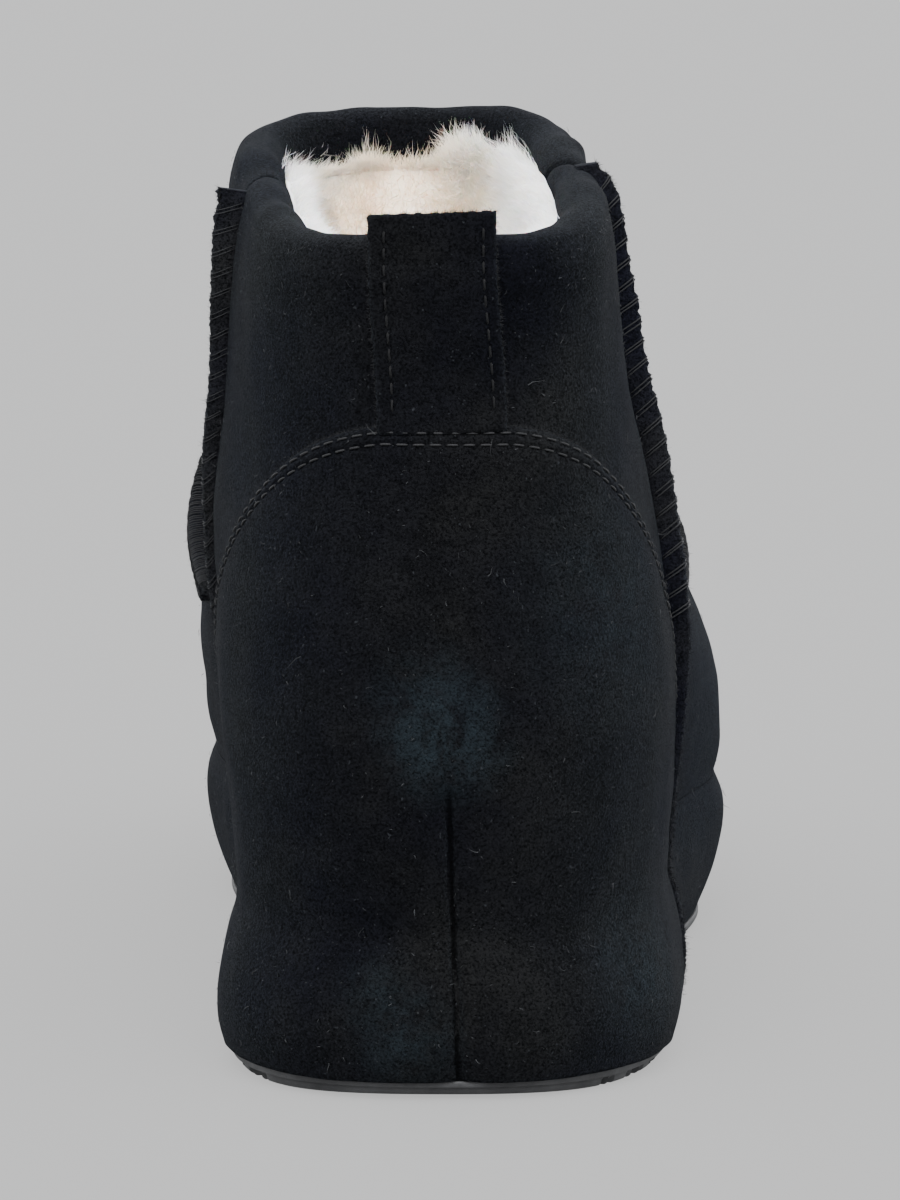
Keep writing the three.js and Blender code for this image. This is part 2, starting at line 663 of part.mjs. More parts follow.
const finish = (name, color, roughness) =>
  new THREE.MeshStandardMaterial({ name, color, roughness, metalness: 0 });
const suede = (name) => finish(name, 0x14171a, 0.95);
const rubber = finish("rubber", 0x2b2c2e, 0.6);
const wool = finish("wool", 0xefe3d2, 1);

const boot = new THREE.Group();
function add(name, geometry, material) {
  const mesh = new THREE.Mesh(geometry, material);
  mesh.name = name;
  boot.add(mesh);
}

add("outsole", outsole(), rubber);
add("platform", platform(), suede("platform cover"));
add("insole", insole(), wool);
add("upper", upper(), suede("upper"));
add("heel_cover", heelCover(), suede("heel cover"));
add("collar_facing", collarFacing(), suede("facing"));
add("wool_lining", woolLining(), wool);
add("side_seam_outer", sideSeam(1), suede("seam edge"));
add("side_seam_inner", sideSeam(-1), suede("seam edge"));
add("instep_seam", instepSeam(), suede("seam edge"));
add("pull_tab", pullTab(), suede("tab"));

// The frame's origin is on the floor, under the middle of the boot.
const box = new THREE.Box3().setFromObject(boot);
const middle = box.getCenter(new THREE.Vector3());
boot.position.set(-middle.x, -middle.y, -box.min.z);

export default boot;
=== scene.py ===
import bmesh
import bpy
import json
import math
import numpy as np
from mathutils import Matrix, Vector

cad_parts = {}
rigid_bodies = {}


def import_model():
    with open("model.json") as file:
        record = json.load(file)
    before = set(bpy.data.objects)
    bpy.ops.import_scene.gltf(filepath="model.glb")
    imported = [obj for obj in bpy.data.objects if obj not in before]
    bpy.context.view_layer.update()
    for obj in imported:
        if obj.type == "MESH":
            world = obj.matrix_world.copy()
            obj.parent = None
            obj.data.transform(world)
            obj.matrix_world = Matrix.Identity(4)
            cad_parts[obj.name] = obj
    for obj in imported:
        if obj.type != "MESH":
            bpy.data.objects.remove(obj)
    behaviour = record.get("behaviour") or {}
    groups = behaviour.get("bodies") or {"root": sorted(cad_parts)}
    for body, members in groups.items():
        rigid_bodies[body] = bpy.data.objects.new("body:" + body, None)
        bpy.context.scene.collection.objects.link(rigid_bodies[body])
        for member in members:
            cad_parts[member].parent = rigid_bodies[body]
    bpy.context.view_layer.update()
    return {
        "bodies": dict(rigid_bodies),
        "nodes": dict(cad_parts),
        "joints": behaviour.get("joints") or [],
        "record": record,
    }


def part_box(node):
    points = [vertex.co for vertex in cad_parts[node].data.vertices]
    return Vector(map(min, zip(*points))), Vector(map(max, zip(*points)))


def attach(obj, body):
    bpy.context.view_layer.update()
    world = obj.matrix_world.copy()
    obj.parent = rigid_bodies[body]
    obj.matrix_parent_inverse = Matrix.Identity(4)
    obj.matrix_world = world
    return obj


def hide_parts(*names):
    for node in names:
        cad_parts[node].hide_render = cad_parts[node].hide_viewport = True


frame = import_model()
random = np.random.default_rng(7)

# Sizes in millimetres, in the boot's own measures: the heel's bulge at y = 0, the floor at z = 0
SHOE_LENGTH = 268
HEEL_WIDTH = 83
ARCH_WIDTH = 85.5
BALL_WIDTH = 105
HEEL_SWING = 3.2
ARCH_SWING = 1.6
TOE_SWING = 8.2
COLLAR_LENGTH = 112
COLLAR_WIDTH = 66
COLLAR_SETBACK = 10
COLLAR_BACK_HEIGHT = 154.4
COLLAR_FRONT_HEIGHT = 169.3
COLLAR_LEAN = 1.8
COLLAR_SKEW = 0.104
COLLAR_TILT = 1.4
ROLL_RADIUS = 4.6
FACING_DEPTH = 11.5
OUTSOLE_THICKNESS = 3.6
PLATFORM_HEEL_HEIGHT = 29.4
PLATFORM_BALL_HEIGHT = 30.8
TOE_SPRING = 10
TOE_SPRING_AT = 0.69
HEEL_BEVEL = 1.2
HEEL_BEVEL_RUN = 17
ARCH_RELIEF = 1.6
ARCH_RELIEF_RUN = 38
WALL = 2.4
FIT_GAP = 0.3
INSOLE_THICKNESS = 4
COVER_THICKNESS = 1.3
TAB_THICKNESS = 1.4
TAB_WIDTH = 22.5
TAB_PROUD = 4.4
TAB_LEAN = 2.6
TAB_LEAN_FOOT = 0.9
TAB_MARGINS = (3.0, 2.3)  # from its inner and its outer edge to their rows of stitches
SEAM_HEIGHT = 3.6
SEAM_WIDTH = 4.8
SIDE_SEAM_TOP_Y = 63
SIDE_SEAM_FOOT_Y = 71
INSTEP_SEAM_FOOT_HEIGHT = 80
INSTEP_SEAM_HEIGHT = 127
INSTEP_SEAM_FULLNESS = 1.15
COVER_TOP_HEIGHT = 121
COVER_LEVEL_END_Y = 9
COVER_CORNER_HEIGHT = 64
HEEL_AT = 0.16
ARCH_AT = 0.41
OUTER_BALL_AT = 0.63
INNER_BALL_AT = 0.74
COLLAR_FRONT = COLLAR_SETBACK + COLLAR_LENGTH
MM = 0.001


# Sections of the form, from the hem of the platform's cover up to the collar
COLUMNS = "back front heel arch ball rise rise_front heel_round toe_round square inset drop".split()
COVER_ROWS = [
    (0.22, 0.972, 0.82, 0.41, 0.74, 0.00, 0, 0.17, 0.34, 2.4, 0, 0),
    (0.03, 0.998, 0.96, 0.58, 0.88, 0.22, 0, 0.17, 0.34, 2.4, 0, 0),
    (0.04, 1.000, 0.92, 0.63, 0.985, 0.50, 0, 0.17, 0.34, 2.4, 0, 0),
    (0.20, 0.992, 0.74, 0.47, 1.01, 0.82, 0, 0.17, 0.34, 2.3, 0, 0),
    (0.33, 0.975, 0.59, 0.34, 0.92, 1.00, 0, 0.17, 0.34, 2.3, 0, 0),
]
UPPER_ROWS = [
    (0.24, 0.993, 0.61, 0.48, 0.99, 0.06, 0.06, 0.17, 0.34, 2.3, 0, 0),
    (0.08, 1.000, 0.70, 0.72, 1.01, 0.157, 0.14, 0.18, 0.34, 2.3, 0, 0),
    (0.00, 0.983, 0.82, 0.93, 0.91, 0.26, 0.225, 0.19, 0.35, 2.3, 0, 0),
    (0.06, 0.918, 0.89, 1.05, 0.75, 0.36, 0.30, 0.20, 0.38, 2.25, 0, 0),
    (0.22, 0.788, 0.85, 1.13, 0.50, 0.47, 0.37, 0.22, 0.42, 2.25, 0, 0),
    (0.44, 0.580, 0.72, 1.00, 0.29, 0.58, 0.45, 0.26, 0.45, 2.3, 0, 0),
    (0.67, 0.345, 0.53, 0.71, 0.15, 0.70, 0.55, 0.32, 0.48, 2.35, 0, 0),
    (0.86, 0.145, 0.34, 0.37, 0.09, 0.82, 0.69, 0.40, 0.48, 2.5, 0, 0),
    (0.96, 0.035, 0.16, 0.22, 0.03, 0.92, 0.845, 0.46, 0.42, 2.9, 0, 0),
    (1.00, 0.000, 0.00, 0.00, 0.00, 1.00, 1.00, 0.50, 0.34, 3.4, 0, 0),
]
ROLL_ANGLES = [40, 90, 140, 180]


def roll_row(angle, extra_drop=0):
    bend = math.radians(angle)
    inset = ROLL_RADIUS * (1 - math.cos(bend))
    return UPPER_ROWS[-1][:10] + (inset, extra_drop - ROLL_RADIUS * math.sin(bend))


ROLL_ROWS = [roll_row(angle) for angle in ROLL_ANGLES]
FACING_ROW = roll_row(180, FACING_DEPTH - ROLL_RADIUS)
ROWS = COVER_ROWS + UPPER_ROWS + ROLL_ROWS + [FACING_ROW]
TABLE = {name: np.array([row[i] for row in ROWS], float) for i, name in enumerate(COLUMNS)}
CREASE_LEVEL = len(COVER_ROWS) - 1
COLLAR_LEVEL = CREASE_LEVEL + len(UPPER_ROWS)
CREST_LEVEL = COLLAR_LEVEL + 2
FACING_LEVEL = len(ROWS) - 1


def mix(a, b, share):
    return a + (b - a) * share


def ease(v):
    v = np.clip(v, 0, 1)
    return v * v * (3 - 2 * v)


def spring(y):
    start = SHOE_LENGTH * TOE_SPRING_AT
    return TOE_SPRING * np.clip((y - start) / (SHOE_LENGTH - start), 0, 1) ** 2


def ground_line(y):
    return spring(y) + HEEL_BEVEL * np.clip(1 - y / HEEL_BEVEL_RUN, 0, 1) ** 2


def arch_lift(y):
    return ARCH_RELIEF * (1 - ease(np.abs(y - SHOE_LENGTH * ARCH_AT) / ARCH_RELIEF_RUN))


def outsole_top(y):
    return spring(y) + OUTSOLE_THICKNESS


def platform_top(y):
    run = (y / SHOE_LENGTH - HEEL_AT) / (OUTER_BALL_AT - HEEL_AT)
    return mix(PLATFORM_HEEL_HEIGHT, PLATFORM_BALL_HEIGHT, ease(run)) + spring(y)


def swing(y, up_leg):
    at = y / SHOE_LENGTH
    rear = mix(-HEEL_SWING, ARCH_SWING, ease(at / ARCH_AT))
    ball = mix(rear, 0, ease((at - ARCH_AT) / (OUTER_BALL_AT - ARCH_AT)))
    return mix(ball, -TOE_SWING, ease((at - OUTER_BALL_AT) / (1 - OUTER_BALL_AT))) * (1 - up_leg)


def section(index, angle):
    r = {name: column[index] for name, column in TABLE.items()}
    cover = index < len(COVER_ROWS)
    back = r["back"] * COLLAR_SETBACK + r["inset"]
    front = mix(COLLAR_FRONT, SHOE_LENGTH, r["front"]) - r["inset"]
    run = (1 - np.cos(angle)) / 2
    y = mix(back, front, run)
    outer = np.sin(angle) >= 0
    half = {
        name: mix(COLLAR_WIDTH, width, r[name]) / 2 - r["inset"]
        for name, width in (("heel", HEEL_WIDTH), ("arch", ARCH_WIDTH), ("ball", BALL_WIDTH))
    }
    rear = mix(half["heel"], half["arch"], ease((run - HEEL_AT) / (ARCH_AT - HEEL_AT)))
    ball_at = np.where(outer, OUTER_BALL_AT, INNER_BALL_AT)
    width = mix(rear, half["ball"], ease((run - ARCH_AT) / (ball_at - ARCH_AT)))
    short = np.maximum(np.maximum(1 - run / r["heel_round"], 1 - (1 - run) / r["toe_round"]), 0)
    rounding = np.clip(1 - short ** r["square"], 0, 1) ** (1 / r["square"])
    side = np.where(outer, 1, -1)
    low, low_front = platform_top(back), platform_top(front)
    high = mix(low, COLLAR_BACK_HEIGHT - ROLL_RADIUS, r["rise"])
    high_front = mix(low_front, COLLAR_FRONT_HEIGHT - ROLL_RADIUS, r["rise_front"])
    sole = platform_top(y) - mix(low, low_front, run)
    z_upper = mix(high, high_front, run) + sole * (1 - ease(r["rise"] * 2)) - r["drop"]
    z_cover = mix(outsole_top(y), platform_top(y), r["rise"])
    up_leg = np.where(cover, 0, ease(r["rise"]))
    lean = (COLLAR_LEAN + COLLAR_SKEW * (y - COLLAR_SETBACK)) * up_leg
    x = side * width * rounding + swing(y, up_leg) - lean
    tilt = COLLAR_TILT * up_leg * (x + lean) / (COLLAR_WIDTH / 2)
    return np.stack([x, y, np.where(cover, z_cover, z_upper) + tilt], -1)


def length_of(v):
    return np.maximum(np.linalg.norm(v, axis=-1, keepdims=True), 1e-9)


def form(angle, level):
    """Points of the boot's outside at an angle (0 heel, pi toe, outer side first) and a level"""
    angle, level = np.broadcast_arrays(np.asarray(angle, float), np.asarray(level, float))
    last = len(ROWS) - 1
    i = np.clip(np.floor(level).astype(int), 0, last - 1)
    before, start, end, after = (section(np.clip(i + k, 0, last), angle) for k in (-1, 0, 1, 2))
    g0, g1, g2 = length_of(start - before), length_of(end - start), length_of(after - end)
    along = (end - start) / g1
    leave = np.where(g0 < 1e-6, along, ((start - before) / g0 * g1 + along * g0) / (g0 + g1)) * g1
    arrive = np.where(g2 < 1e-6, along, (along * g2 + (after - end) / g2 * g1) / (g1 + g2)) * g1
    s = (level - i)[..., None]
    return (
        start * (2 * s**3 - 3 * s**2 + 1)
        + leave * (s**3 - 2 * s**2 + s)
        + end * (3 * s**2 - 2 * s**3)
        + arrive * (s**3 - s**2)
    )


def unit(v):
    return v / length_of(v)


def form_normal(angle, level):
    step = 0.02
    around = form(angle + step, level) - form(angle - step, level)
    up = form(angle, np.minimum(level + step, FACING_LEVEL)) - form(angle, np.maximum(level - step, 0))
    return unit(np.cross(around, up))


def at_offset(angle, level, offset):
    return form(angle, level) + form_normal(angle, level) * np.asarray(offset)[..., None]


def solve(low, high, below):
    """Where below(v) turns false between low and high, for each element"""
    low, high = np.array(low, float), np.array(high, float)
    for _ in range(34):
        middle = (low + high) / 2
        down = below(middle)
        low, high = np.where(down, middle, low), np.where(down, high, middle)
    return (low + high) / 2


def level_at_height(angle, height):
    angle, height = np.broadcast_arrays(np.asarray(angle, float), np.asarray(height, float))
    zero = np.zeros(angle.shape)
    return solve(zero, zero + CREST_LEVEL, lambda level: form(angle, level)[..., 2] < height)


def angle_at_length(y, level, side):
    y, level = np.broadcast_arrays(np.asarray(y, float), np.asarray(level, float))
    zero = np.zeros(level.shape)
    return side * solve(zero, zero + math.pi, lambda a: form(side * a, level)[..., 1] < y)


def bell(away, width):
    return np.exp(-((away / width) ** 2))


def turn(count):
    """Angles once round the boot"""
    return np.linspace(0, 2 * math.pi, count + 1)[:-1]


def run_along(line):
    """How far each point of a line lies from its first, along it"""
    return np.append(0, np.cumsum(np.linalg.norm(np.diff(line, axis=0), axis=1)))


def middle_line(ring):
    """The points halfway between a ring's outer and inner side"""
    return (ring + ring[(-np.arange(len(ring))) % len(ring)]) / 2


# The part's own frame: the form is moved so that its platform's rings meet the solid one's
SOLID_RING_STEPS = 34
SOLID_STEPS_A_ROW = 2
solid_levels = np.arange(CREASE_LEVEL * SOLID_STEPS_A_ROW + 1) / SOLID_STEPS_A_ROW
hem = form(*np.meshgrid(turn(SOLID_RING_STEPS), solid_levels))
low_corner, high_corner = (np.array(corner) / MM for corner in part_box("platform"))
SHIFT = np.array([
    (low_corner[0] + high_corner[0]) / 2 - (hem[..., 0].min() + hem[..., 0].max()) / 2,
    high_corner[1] - hem[..., 1].max(),
    0.0,
])


# Meshes

def add_mesh(name, points, faces, material, node=(), weld=False):
    mesh = bpy.data.meshes.new(name)
    mesh.from_pydata(((np.asarray(points) + SHIFT) * MM).tolist(), [], faces)
    if weld:
        b = bmesh.new()
        b.from_mesh(mesh)
        bmesh.ops.remove_doubles(b, verts=b.verts, dist=1e-6)
        bmesh.ops.dissolve_degenerate(b, dist=1e-7, edges=b.edges)
        b.to_mesh(mesh)
        b.free()
    mesh.polygons.foreach_set("use_smooth", [True] * len(mesh.polygons))
    mesh.materials.append(material)
    obj = bpy.data.objects.new(name, mesh)
    bpy.context.scene.collection.objects.link(obj)
    if node:
        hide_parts(*node)
    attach(obj, "root")
    return obj


def grid_faces(rows, columns, start=0, closed=False, flip=False):
    r = np.arange(rows - 1)[:, None]
    c = np.arange(columns if closed else columns - 1)[None, :]
    a = start + r * columns + c
    b = start + r * columns + (c + 1) % columns
    quads = np.stack([a, b, b + columns, a + columns], -1).reshape(-1, 4)
    return (quads[:, ::-1] if flip else quads).tolist()


def rim_faces(first, second):
    """Quads between two runs of point numbers"""
    return np.stack([first[:-1], first[1:], second[1:], second[:-1]], -1).tolist()


def shell(outer, inner):
    """Closed rings outside and inside, joined at both ends"""
    n = outer.shape[1]
    points = np.concatenate([outer.reshape(-1, 3), inner.reshape(-1, 3)])
    under = outer.shape[0] * n
    faces = grid_faces(outer.shape[0], n, 0, True) + grid_faces(inner.shape[0], n, under, True, True)
    loop = np.append(np.arange(n), 0)
    faces += rim_faces(loop[::-1], under + loop[::-1])
    faces += rim_faces((outer.shape[0] - 1) * n + loop, under + (inner.shape[0] - 1) * n + loop)
    return points, faces


def sheet(outer, inner):
    """A sheet of thickness between two grids of the same size"""
    rows, n = outer.shape[:2]
    points = np.concatenate([outer.reshape(-1, 3), inner.reshape(-1, 3)])
    under = rows * n
    faces = grid_faces(rows, n) + grid_faces(rows, n, under, False, True)
    across, up = np.arange(n), np.arange(rows) * n
    for run in (across[::-1], (rows - 1) * n + across, up, up[::-1] + n - 1):
        faces += rim_faces(run, under + run)
    return points, faces


TUBE_TAPER = 0.6


def tube(paths, radius, sides):
    """One closed tube along each path (paths: count, steps, 3), thinner at its ends"""
    count, steps = paths.shape[:2]
    along = unit(np.gradient(paths, axis=1))
    helper = np.where(np.abs(along[..., 2:3]) > 0.9, [1.0, 0.0, 0.0], [0.0, 0.0, 1.0])
    side = unit(np.cross(along, helper))
    up = np.cross(side, along)
    end = np.abs(np.linspace(-1, 1, steps)) ** 6
    thick = (radius * (1 - TUBE_TAPER * end))[None, :, None, None]
    angle = turn(sides)[:, None]
    ring = np.cos(angle) * side[:, :, None, :] + np.sin(angle) * up[:, :, None, :]
    points = paths[:, :, None, :] + ring * thick
    faces = []
    for k in range(count):
        start = k * steps * sides
        faces += grid_faces(steps, sides, start, True)
        faces.append(list(range(start + sides - 1, start - 1, -1)))
        faces.append(list(range(start + (steps - 1) * sides, start + steps * sides)))
    return points.reshape(-1, 3), faces


def strands(roots, directions, lengths, width, bend, curl, steps):
    """Tapered hairs: one ribbon each, bent and curled, ending in a point"""
    n = len(roots)
    t = np.linspace(0, 1, steps)[None, :, None]
    directions = unit(directions)
    any_way = unit(random.normal(size=(n, 3)))
    side = unit(np.cross(directions, any_way))
    other = np.cross(directions, side)
    phase = random.uniform(0, 2 * math.pi, (n, 1, 1))
    swirl = np.sin(phase + t * 5) * side[:, None] + np.cos(phase + t * 4) * other[:, None]
    reach = lengths[:, None, None]
    path = roots[:, None] + directions[:, None] * t * reach + bend[:, None] * t**2 * reach
    path = path + swirl * curl * t * reach
    half = width[:, None, None] / 2 * (1 - t) ** 0.7
    left, right = path - side[:, None] * half, path + side[:, None] * half
    points = np.concatenate([np.stack([left, right], 2)[:, :-1].reshape(n, -1, 3), path[:, -1:]], 1)
    size = 2 * (steps - 1) + 1
    start = np.arange(n)[:, None] * size
    k = np.arange(steps - 2)[None, :] * 2
    quads = np.stack([start + k, start + k + 1, start + k + 3, start + k + 2], -1).reshape(-1, 4).tolist()
    tips = (start + np.array([[size - 3, size - 2, size - 1]])).tolist()
    return points.reshape(-1, 3), quads + tips


def waves(points, size, seed):
    """Soft, even noise from -1 to 1 with swells of a size"""
    own = np.random.default_rng(seed)
    total = np.zeros(points.shape[:-1])
    for _ in range(8):
        heading = unit(own.normal(size=3)) * 2 * math.pi / (size * own.uniform(0.7, 1.6))
        total += np.sin(points @ heading + own.uniform(0, 2 * math.pi))
    return total / 4


# Soft creases: a path of angle in degrees and level, then width and depth in millimetres
CREASES = [
    {"path": [(118, 9.6), (150, 9.0), (180, 8.8), (215, 9.1), (244, 9.7)], "width": 7, "depth": 1.3},
    {"path": [(128, 8.5), (180, 8.0), (232, 8.6)], "width": 6, "depth": 0.8},
    {"path": [(112, 7.4), (150, 7.0), (185, 7.1)], "width": 8, "depth": 0.8},
    {"path": [(72, 11.6), (84, 10.4), (98, 9.4)], "width": 9, "depth": 0.9},
    {"path": [(292, 11.8), (279, 10.5), (268, 9.2)], "width": 9, "depth": 0.9},
    {"path": [(96, 5.2), (118, 5.7), (140, 5.6)], "width": 5, "depth": 0.7},
    {"path": [(262, 5.3), (238, 5.8), (216, 5.7)], "width": 5, "depth": 0.8},
    {"path": [(22, 4.6), (48, 4.9), (66, 5.5)], "width": 5, "depth": 0.6},
    {"path": [(338, 4.6), (312, 4.9), (296, 5.5)], "width": 5, "depth": 0.6},
]


def crease_depth(points):
    total = np.zeros(points.shape[:-1])
    for crease in CREASES:
        angle, level = np.array(crease["path"], float).T
        share = np.linspace(0, 1, len(angle))
        fine_share = np.linspace(0, 1, 28)
        line_angle = np.radians(np.interp(fine_share, share, angle))
        line = form(line_angle, np.interp(fine_share, share, level))
        away = np.full(points.shape[:-1], np.inf)
        near = np.zeros(points.shape[:-1])
        for at, p in zip(fine_share, line):
            d = np.linalg.norm(points - p, axis=-1)
            near = np.where(d < away, at, near)
            away = np.minimum(away, d)
        fade = np.sin(np.clip(near, 0, 1) * math.pi) ** 0.6
        trough = bell(away, crease["width"]) - 0.35 * bell(away, crease["width"] * 2)
        total += crease["depth"] * trough * fade
    return total


def nap_swell(points):
    return 0.22 * waves(points, 26, 3) + 0.1 * waves(points, 9, 4)


# Materials

class Shading:
    """A material and its nodes. Places are in the boot's own measures."""

    def __init__(self, name):
        self.material = bpy.data.materials.new(name)
        self.material.use_nodes = True
        self.nodes = self.material.node_tree.nodes
        self.links = self.material.node_tree.links
        self.coords = self.nodes.new("ShaderNodeTexCoord").outputs["Object"]

    def feed(self, socket, value):
        if hasattr(value, "is_output"):
            self.links.new(value, socket)
        else:
            socket.default_value = (*value, 1) if socket.type == "RGBA" else value

    def add(self, kind, inputs, **settings):
        node = self.nodes.new("ShaderNode" + kind)
        for key, value in settings.items():
            setattr(node, key, value)
        for key, value in inputs.items():
            self.feed(node.inputs[key], value)
        return node

    def noise(self, scale, detail, roughness):
        inputs = {"Vector": self.coords, "Scale": scale, "Detail": detail, "Roughness": roughness}
        return self.add("TexNoise", inputs).outputs["Fac"]

    def remap(self, value, low, high, to_low=0.0, to_high=1.0):
        inputs = {"Value": value, "From Min": low, "From Max": high, "To Min": to_low, "To Max": to_high}
        return self.add("MapRange", inputs).outputs["Result"]

    def mix(self, share, first, second):
        return self.add("Mix", {0: share, 6: first, 7: second}, data_type="RGBA").outputs[2]

    def calculate(self, operation, *values):
        return self.add("Math", dict(enumerate(values)), operation=operation).outputs[0]

    def multiply(self, first, second):
        return self.calculate("MULTIPLY", first, second)

    def distance(self, place):
        inputs = {0: self.coords, 1: ((np.array(place) + SHIFT) * MM).tolist()}
        return self.add("VectorMath", inputs, operation="DISTANCE").outputs["Value"]

    def bump(self, height, strength, distance, **before):
        inputs = {"Strength": strength, "Distance": distance, "Height": height, **before}
        return self.add("Bump", inputs).outputs["Normal"]

    def surface(self, inputs):
        for key, value in inputs.items():
            self.feed(self.nodes["Principled BSDF"].inputs[key], value)
        return self.material


SUEDE_DARK = (0.0003, 0.00035, 0.0005)
SUEDE_BLUE = (0.0021, 0.0022, 0.0038)
SUEDE_GREY = (0.0056, 0.0057, 0.0059)
# The colour of rubbed nap, also used for painted light and painted highlight
SUEDE_WORN_AND_PAINTED_LIGHT = (0.0085, 0.0125, 0.0155)
LINT = (0.02, 0.022, 0.025)

# Lighter places on the suede, rubbed in some and painted light in others: centre, radius, and how strong
HEEL_WEAR_AND_PAINTED_LIGHT = [
    # The next two: rubbed at the heel's bulge
    {"x": -2, "y": 0, "z": 66, "radius": 14, "amount": 0.9},
    {"x": -5, "y": 2, "z": 73, "radius": 13, "amount": 0.5},
    # The next two: painted highlight on the heel's rounded foot, where it faces the light
    {"x": -9, "y": 0, "z": 11, "radius": 12, "amount": 0.5},
    {"x": -14, "y": 0, "z": 20, "radius": 10, "amount": 0.3},
    # The next two: painted light on the outer side, where the light from the right falls
    {"x": 30, "y": 12, "z": 88, "radius": 26, "amount": 0.3},
    {"x": 36, "y": 18, "z": 22, "radius": 18, "amount": 0.45},
]
UPPER_PAINTED_LIGHT_AND_TOE_PATCH = [
    # Painted light on the forefoot's outer side, where the light from the right falls
    {"x": 50, "y": 165, "z": 52, "radius": 60, "amount": 0.22},
    # A lighter patch at the toe
    {"x": -2, "y": 262, "z": 48, "radius": 26, "amount": 0.3},
]


# The heel cover's dart: a short sewn line up from the hem, a little aslant
DART_HEIGHT = 57.5
DART_TOP_X = -1.4
DART_HEM_X = 0.3


# The colour of the painted shade in the dart's crease
DART_PAINTED_SHADE = (0.00005, 0.00005, 0.0001)


def dart_painted_shade(look):
    """Painted shade along the dart: how deep a place lies in it, where no light reaches the nap"""
    x, y, z = look.add("SeparateXYZ", {0: look.coords}).outputs
    slope = (DART_TOP_X - DART_HEM_X) / DART_HEIGHT
    line = look.calculate("MULTIPLY_ADD", z, slope, (DART_HEM_X + SHIFT[0]) * MM)
    away = look.calculate("ABSOLUTE", look.calculate("SUBTRACT", x, line))
    wander = look.remap(look.noise(500, 2, 0.5), 0.3, 0.7, 0.0005, 0.0010)
    near = look.remap(look.calculate("DIVIDE", away, wander), 1.0, 0.3, 0, 0.7)
    below = look.remap(z, (DART_HEIGHT + 0.5) * MM, (DART_HEIGHT - 3) * MM)
    behind = look.remap(y, (30 + SHIFT[1]) * MM, (20 + SHIFT[1]) * MM)
    return look.multiply(look.multiply(near, below), behind)


def suede(name, lift=1.0, wear_and_painted_light_places=(), dart=False):
    """Short nap: dark between its fibres, in soft clouds of blue and grey, rubbed in places, with painted
    light in others
    """
    look = Shading(name)
    clouds = look.remap(look.noise(26, 3, 0.6), 0.38, 0.66)
    patches = look.noise(70, 4, 0.6)
    brushed = look.noise(420, 3, 0.6)
    fibres = look.noise(2100, 4, 0.8)
    tone = look.remap(patches, 0.3, 0.72, 0.45, 1.0)
    tone = look.multiply(tone, look.remap(brushed, 0.25, 0.7, 0.5, 1.0))
    tone = look.multiply(tone, look.remap(fibres, 0.38, 0.62, 0.1, 2.0))
    dark, blue, grey = ([c * lift for c in shade] for shade in (SUEDE_DARK, SUEDE_BLUE, SUEDE_GREY))
    colour = look.mix(tone, dark, look.mix(clouds, blue, grey))
    # Lighter patches: rubbed places, and painted light and painted highlight where the light falls
    for place in wear_and_painted_light_places:
        away = look.distance([place[axis] for axis in "xyz"])
        near = look.remap(away, place["radius"] * MM, 0, 0, place["amount"])
        cloudy = look.remap(look.noise(190, 6, 0.75), 0.36, 0.62, 0.05, 1.2)
        wear_and_painted_light = look.multiply(look.multiply(near, cloudy), look.remap(fibres, 0.38, 0.6, 0.3, 1.6))
        colour = look.mix(wear_and_painted_light, colour, SUEDE_WORN_AND_PAINTED_LIGHT)
    specks = look.remap(look.noise(1300, 1, 0.4), 0.74, 0.77, 0, 0.5)
    colour = look.mix(specks, colour, LINT)
    sheen = look.remap(fibres, 0.38, 0.62, 0.004, 0.04)
    # Painted shade in the dart's crease, with less sheen there
    if dart:
        painted_dart_shade = dart_painted_shade(look)
        colour = look.mix(painted_dart_shade, colour, DART_PAINTED_SHADE)
        sheen = look.multiply(sheen, look.remap(painted_dart_shade, 0, 1, 1, 0.1))
    coarse = look.bump(brushed, 0.3, 0.0006)
    return look.surface({
        "Base Color": colour,
        "Roughness": 0.92,
        "Specular IOR Level": 0.02,
        "Sheen Weight": sheen,
        "Sheen Roughness": 0.5,
        "Sheen Tint": (0.62, 0.72, 0.86),
        "Normal": look.bump(fibres, 0.8, 0.0005, Normal=coarse),
    })


RUBBER_DARK = (0.016, 0.0165, 0.0175)
RUBBER_DUSTY = (0.036, 0.0365, 0.038)


def rubber():
    look = Shading("rubber")
    dust = look.remap(look.noise(160, 5, 0.65), 0.35, 0.7)
    return look.surface({
        "Base Color": look.mix(dust, RUBBER_DARK, RUBBER_DUSTY),
        "Roughness": 0.6,
        "Specular IOR Level": 0.2,
        "Normal": look.bump(look.noise(2200, 2, 0.5), 0.25, 0.0002),
    })


WOOL_PALE = (0.99, 0.975, 0.95)
WOOL_PEACH = (0.99, 0.82, 0.65)
PEACH_MIDDLE = (-11, 106, 146)  # where the wool, low inside the front, is warmer
PEACH_RADIUS = 27


def wool(name, lift=1.0):
    look = Shading(name)
    warm = look.remap(look.noise(60, 3, 0.5), 0.35, 0.6, 0.4, 1)
    deep = look.remap(look.distance(PEACH_MIDDLE), PEACH_RADIUS * MM, PEACH_RADIUS * MM * 0.4)
    pale, peach = ([c * lift for c in shade] for shade in (WOOL_PALE, WOOL_PEACH))
    return look.surface({
        "Base Color": look.mix(look.multiply(warm, deep), pale, peach),
        "Subsurface Weight": 0.6,
        "Subsurface Radius": (0.004, 0.003, 0.002),
        "Subsurface Scale": 0.5,
        "Roughness": 0.85,
        "Specular IOR Level": 0.25,
        "Sheen Weight": 0.3,
        "Sheen Roughness": 0.5,
        "Normal": look.bump(look.noise(900, 4, 0.7), 0.35, 0.0006),
    })


def thread(name, colour):
    look = Shading(name)
    twist = look.noise(1500, 2, 0.5)
    return look.surface({
        "Base Color": look.mix(twist, [c * 0.55 for c in colour], colour),
        "Roughness": 0.7,
        "Specular IOR Level": 0.08,
        "Sheen Weight": 0.03,
        "Normal": look.bump(twist, 0.4, 0.0002),
    })


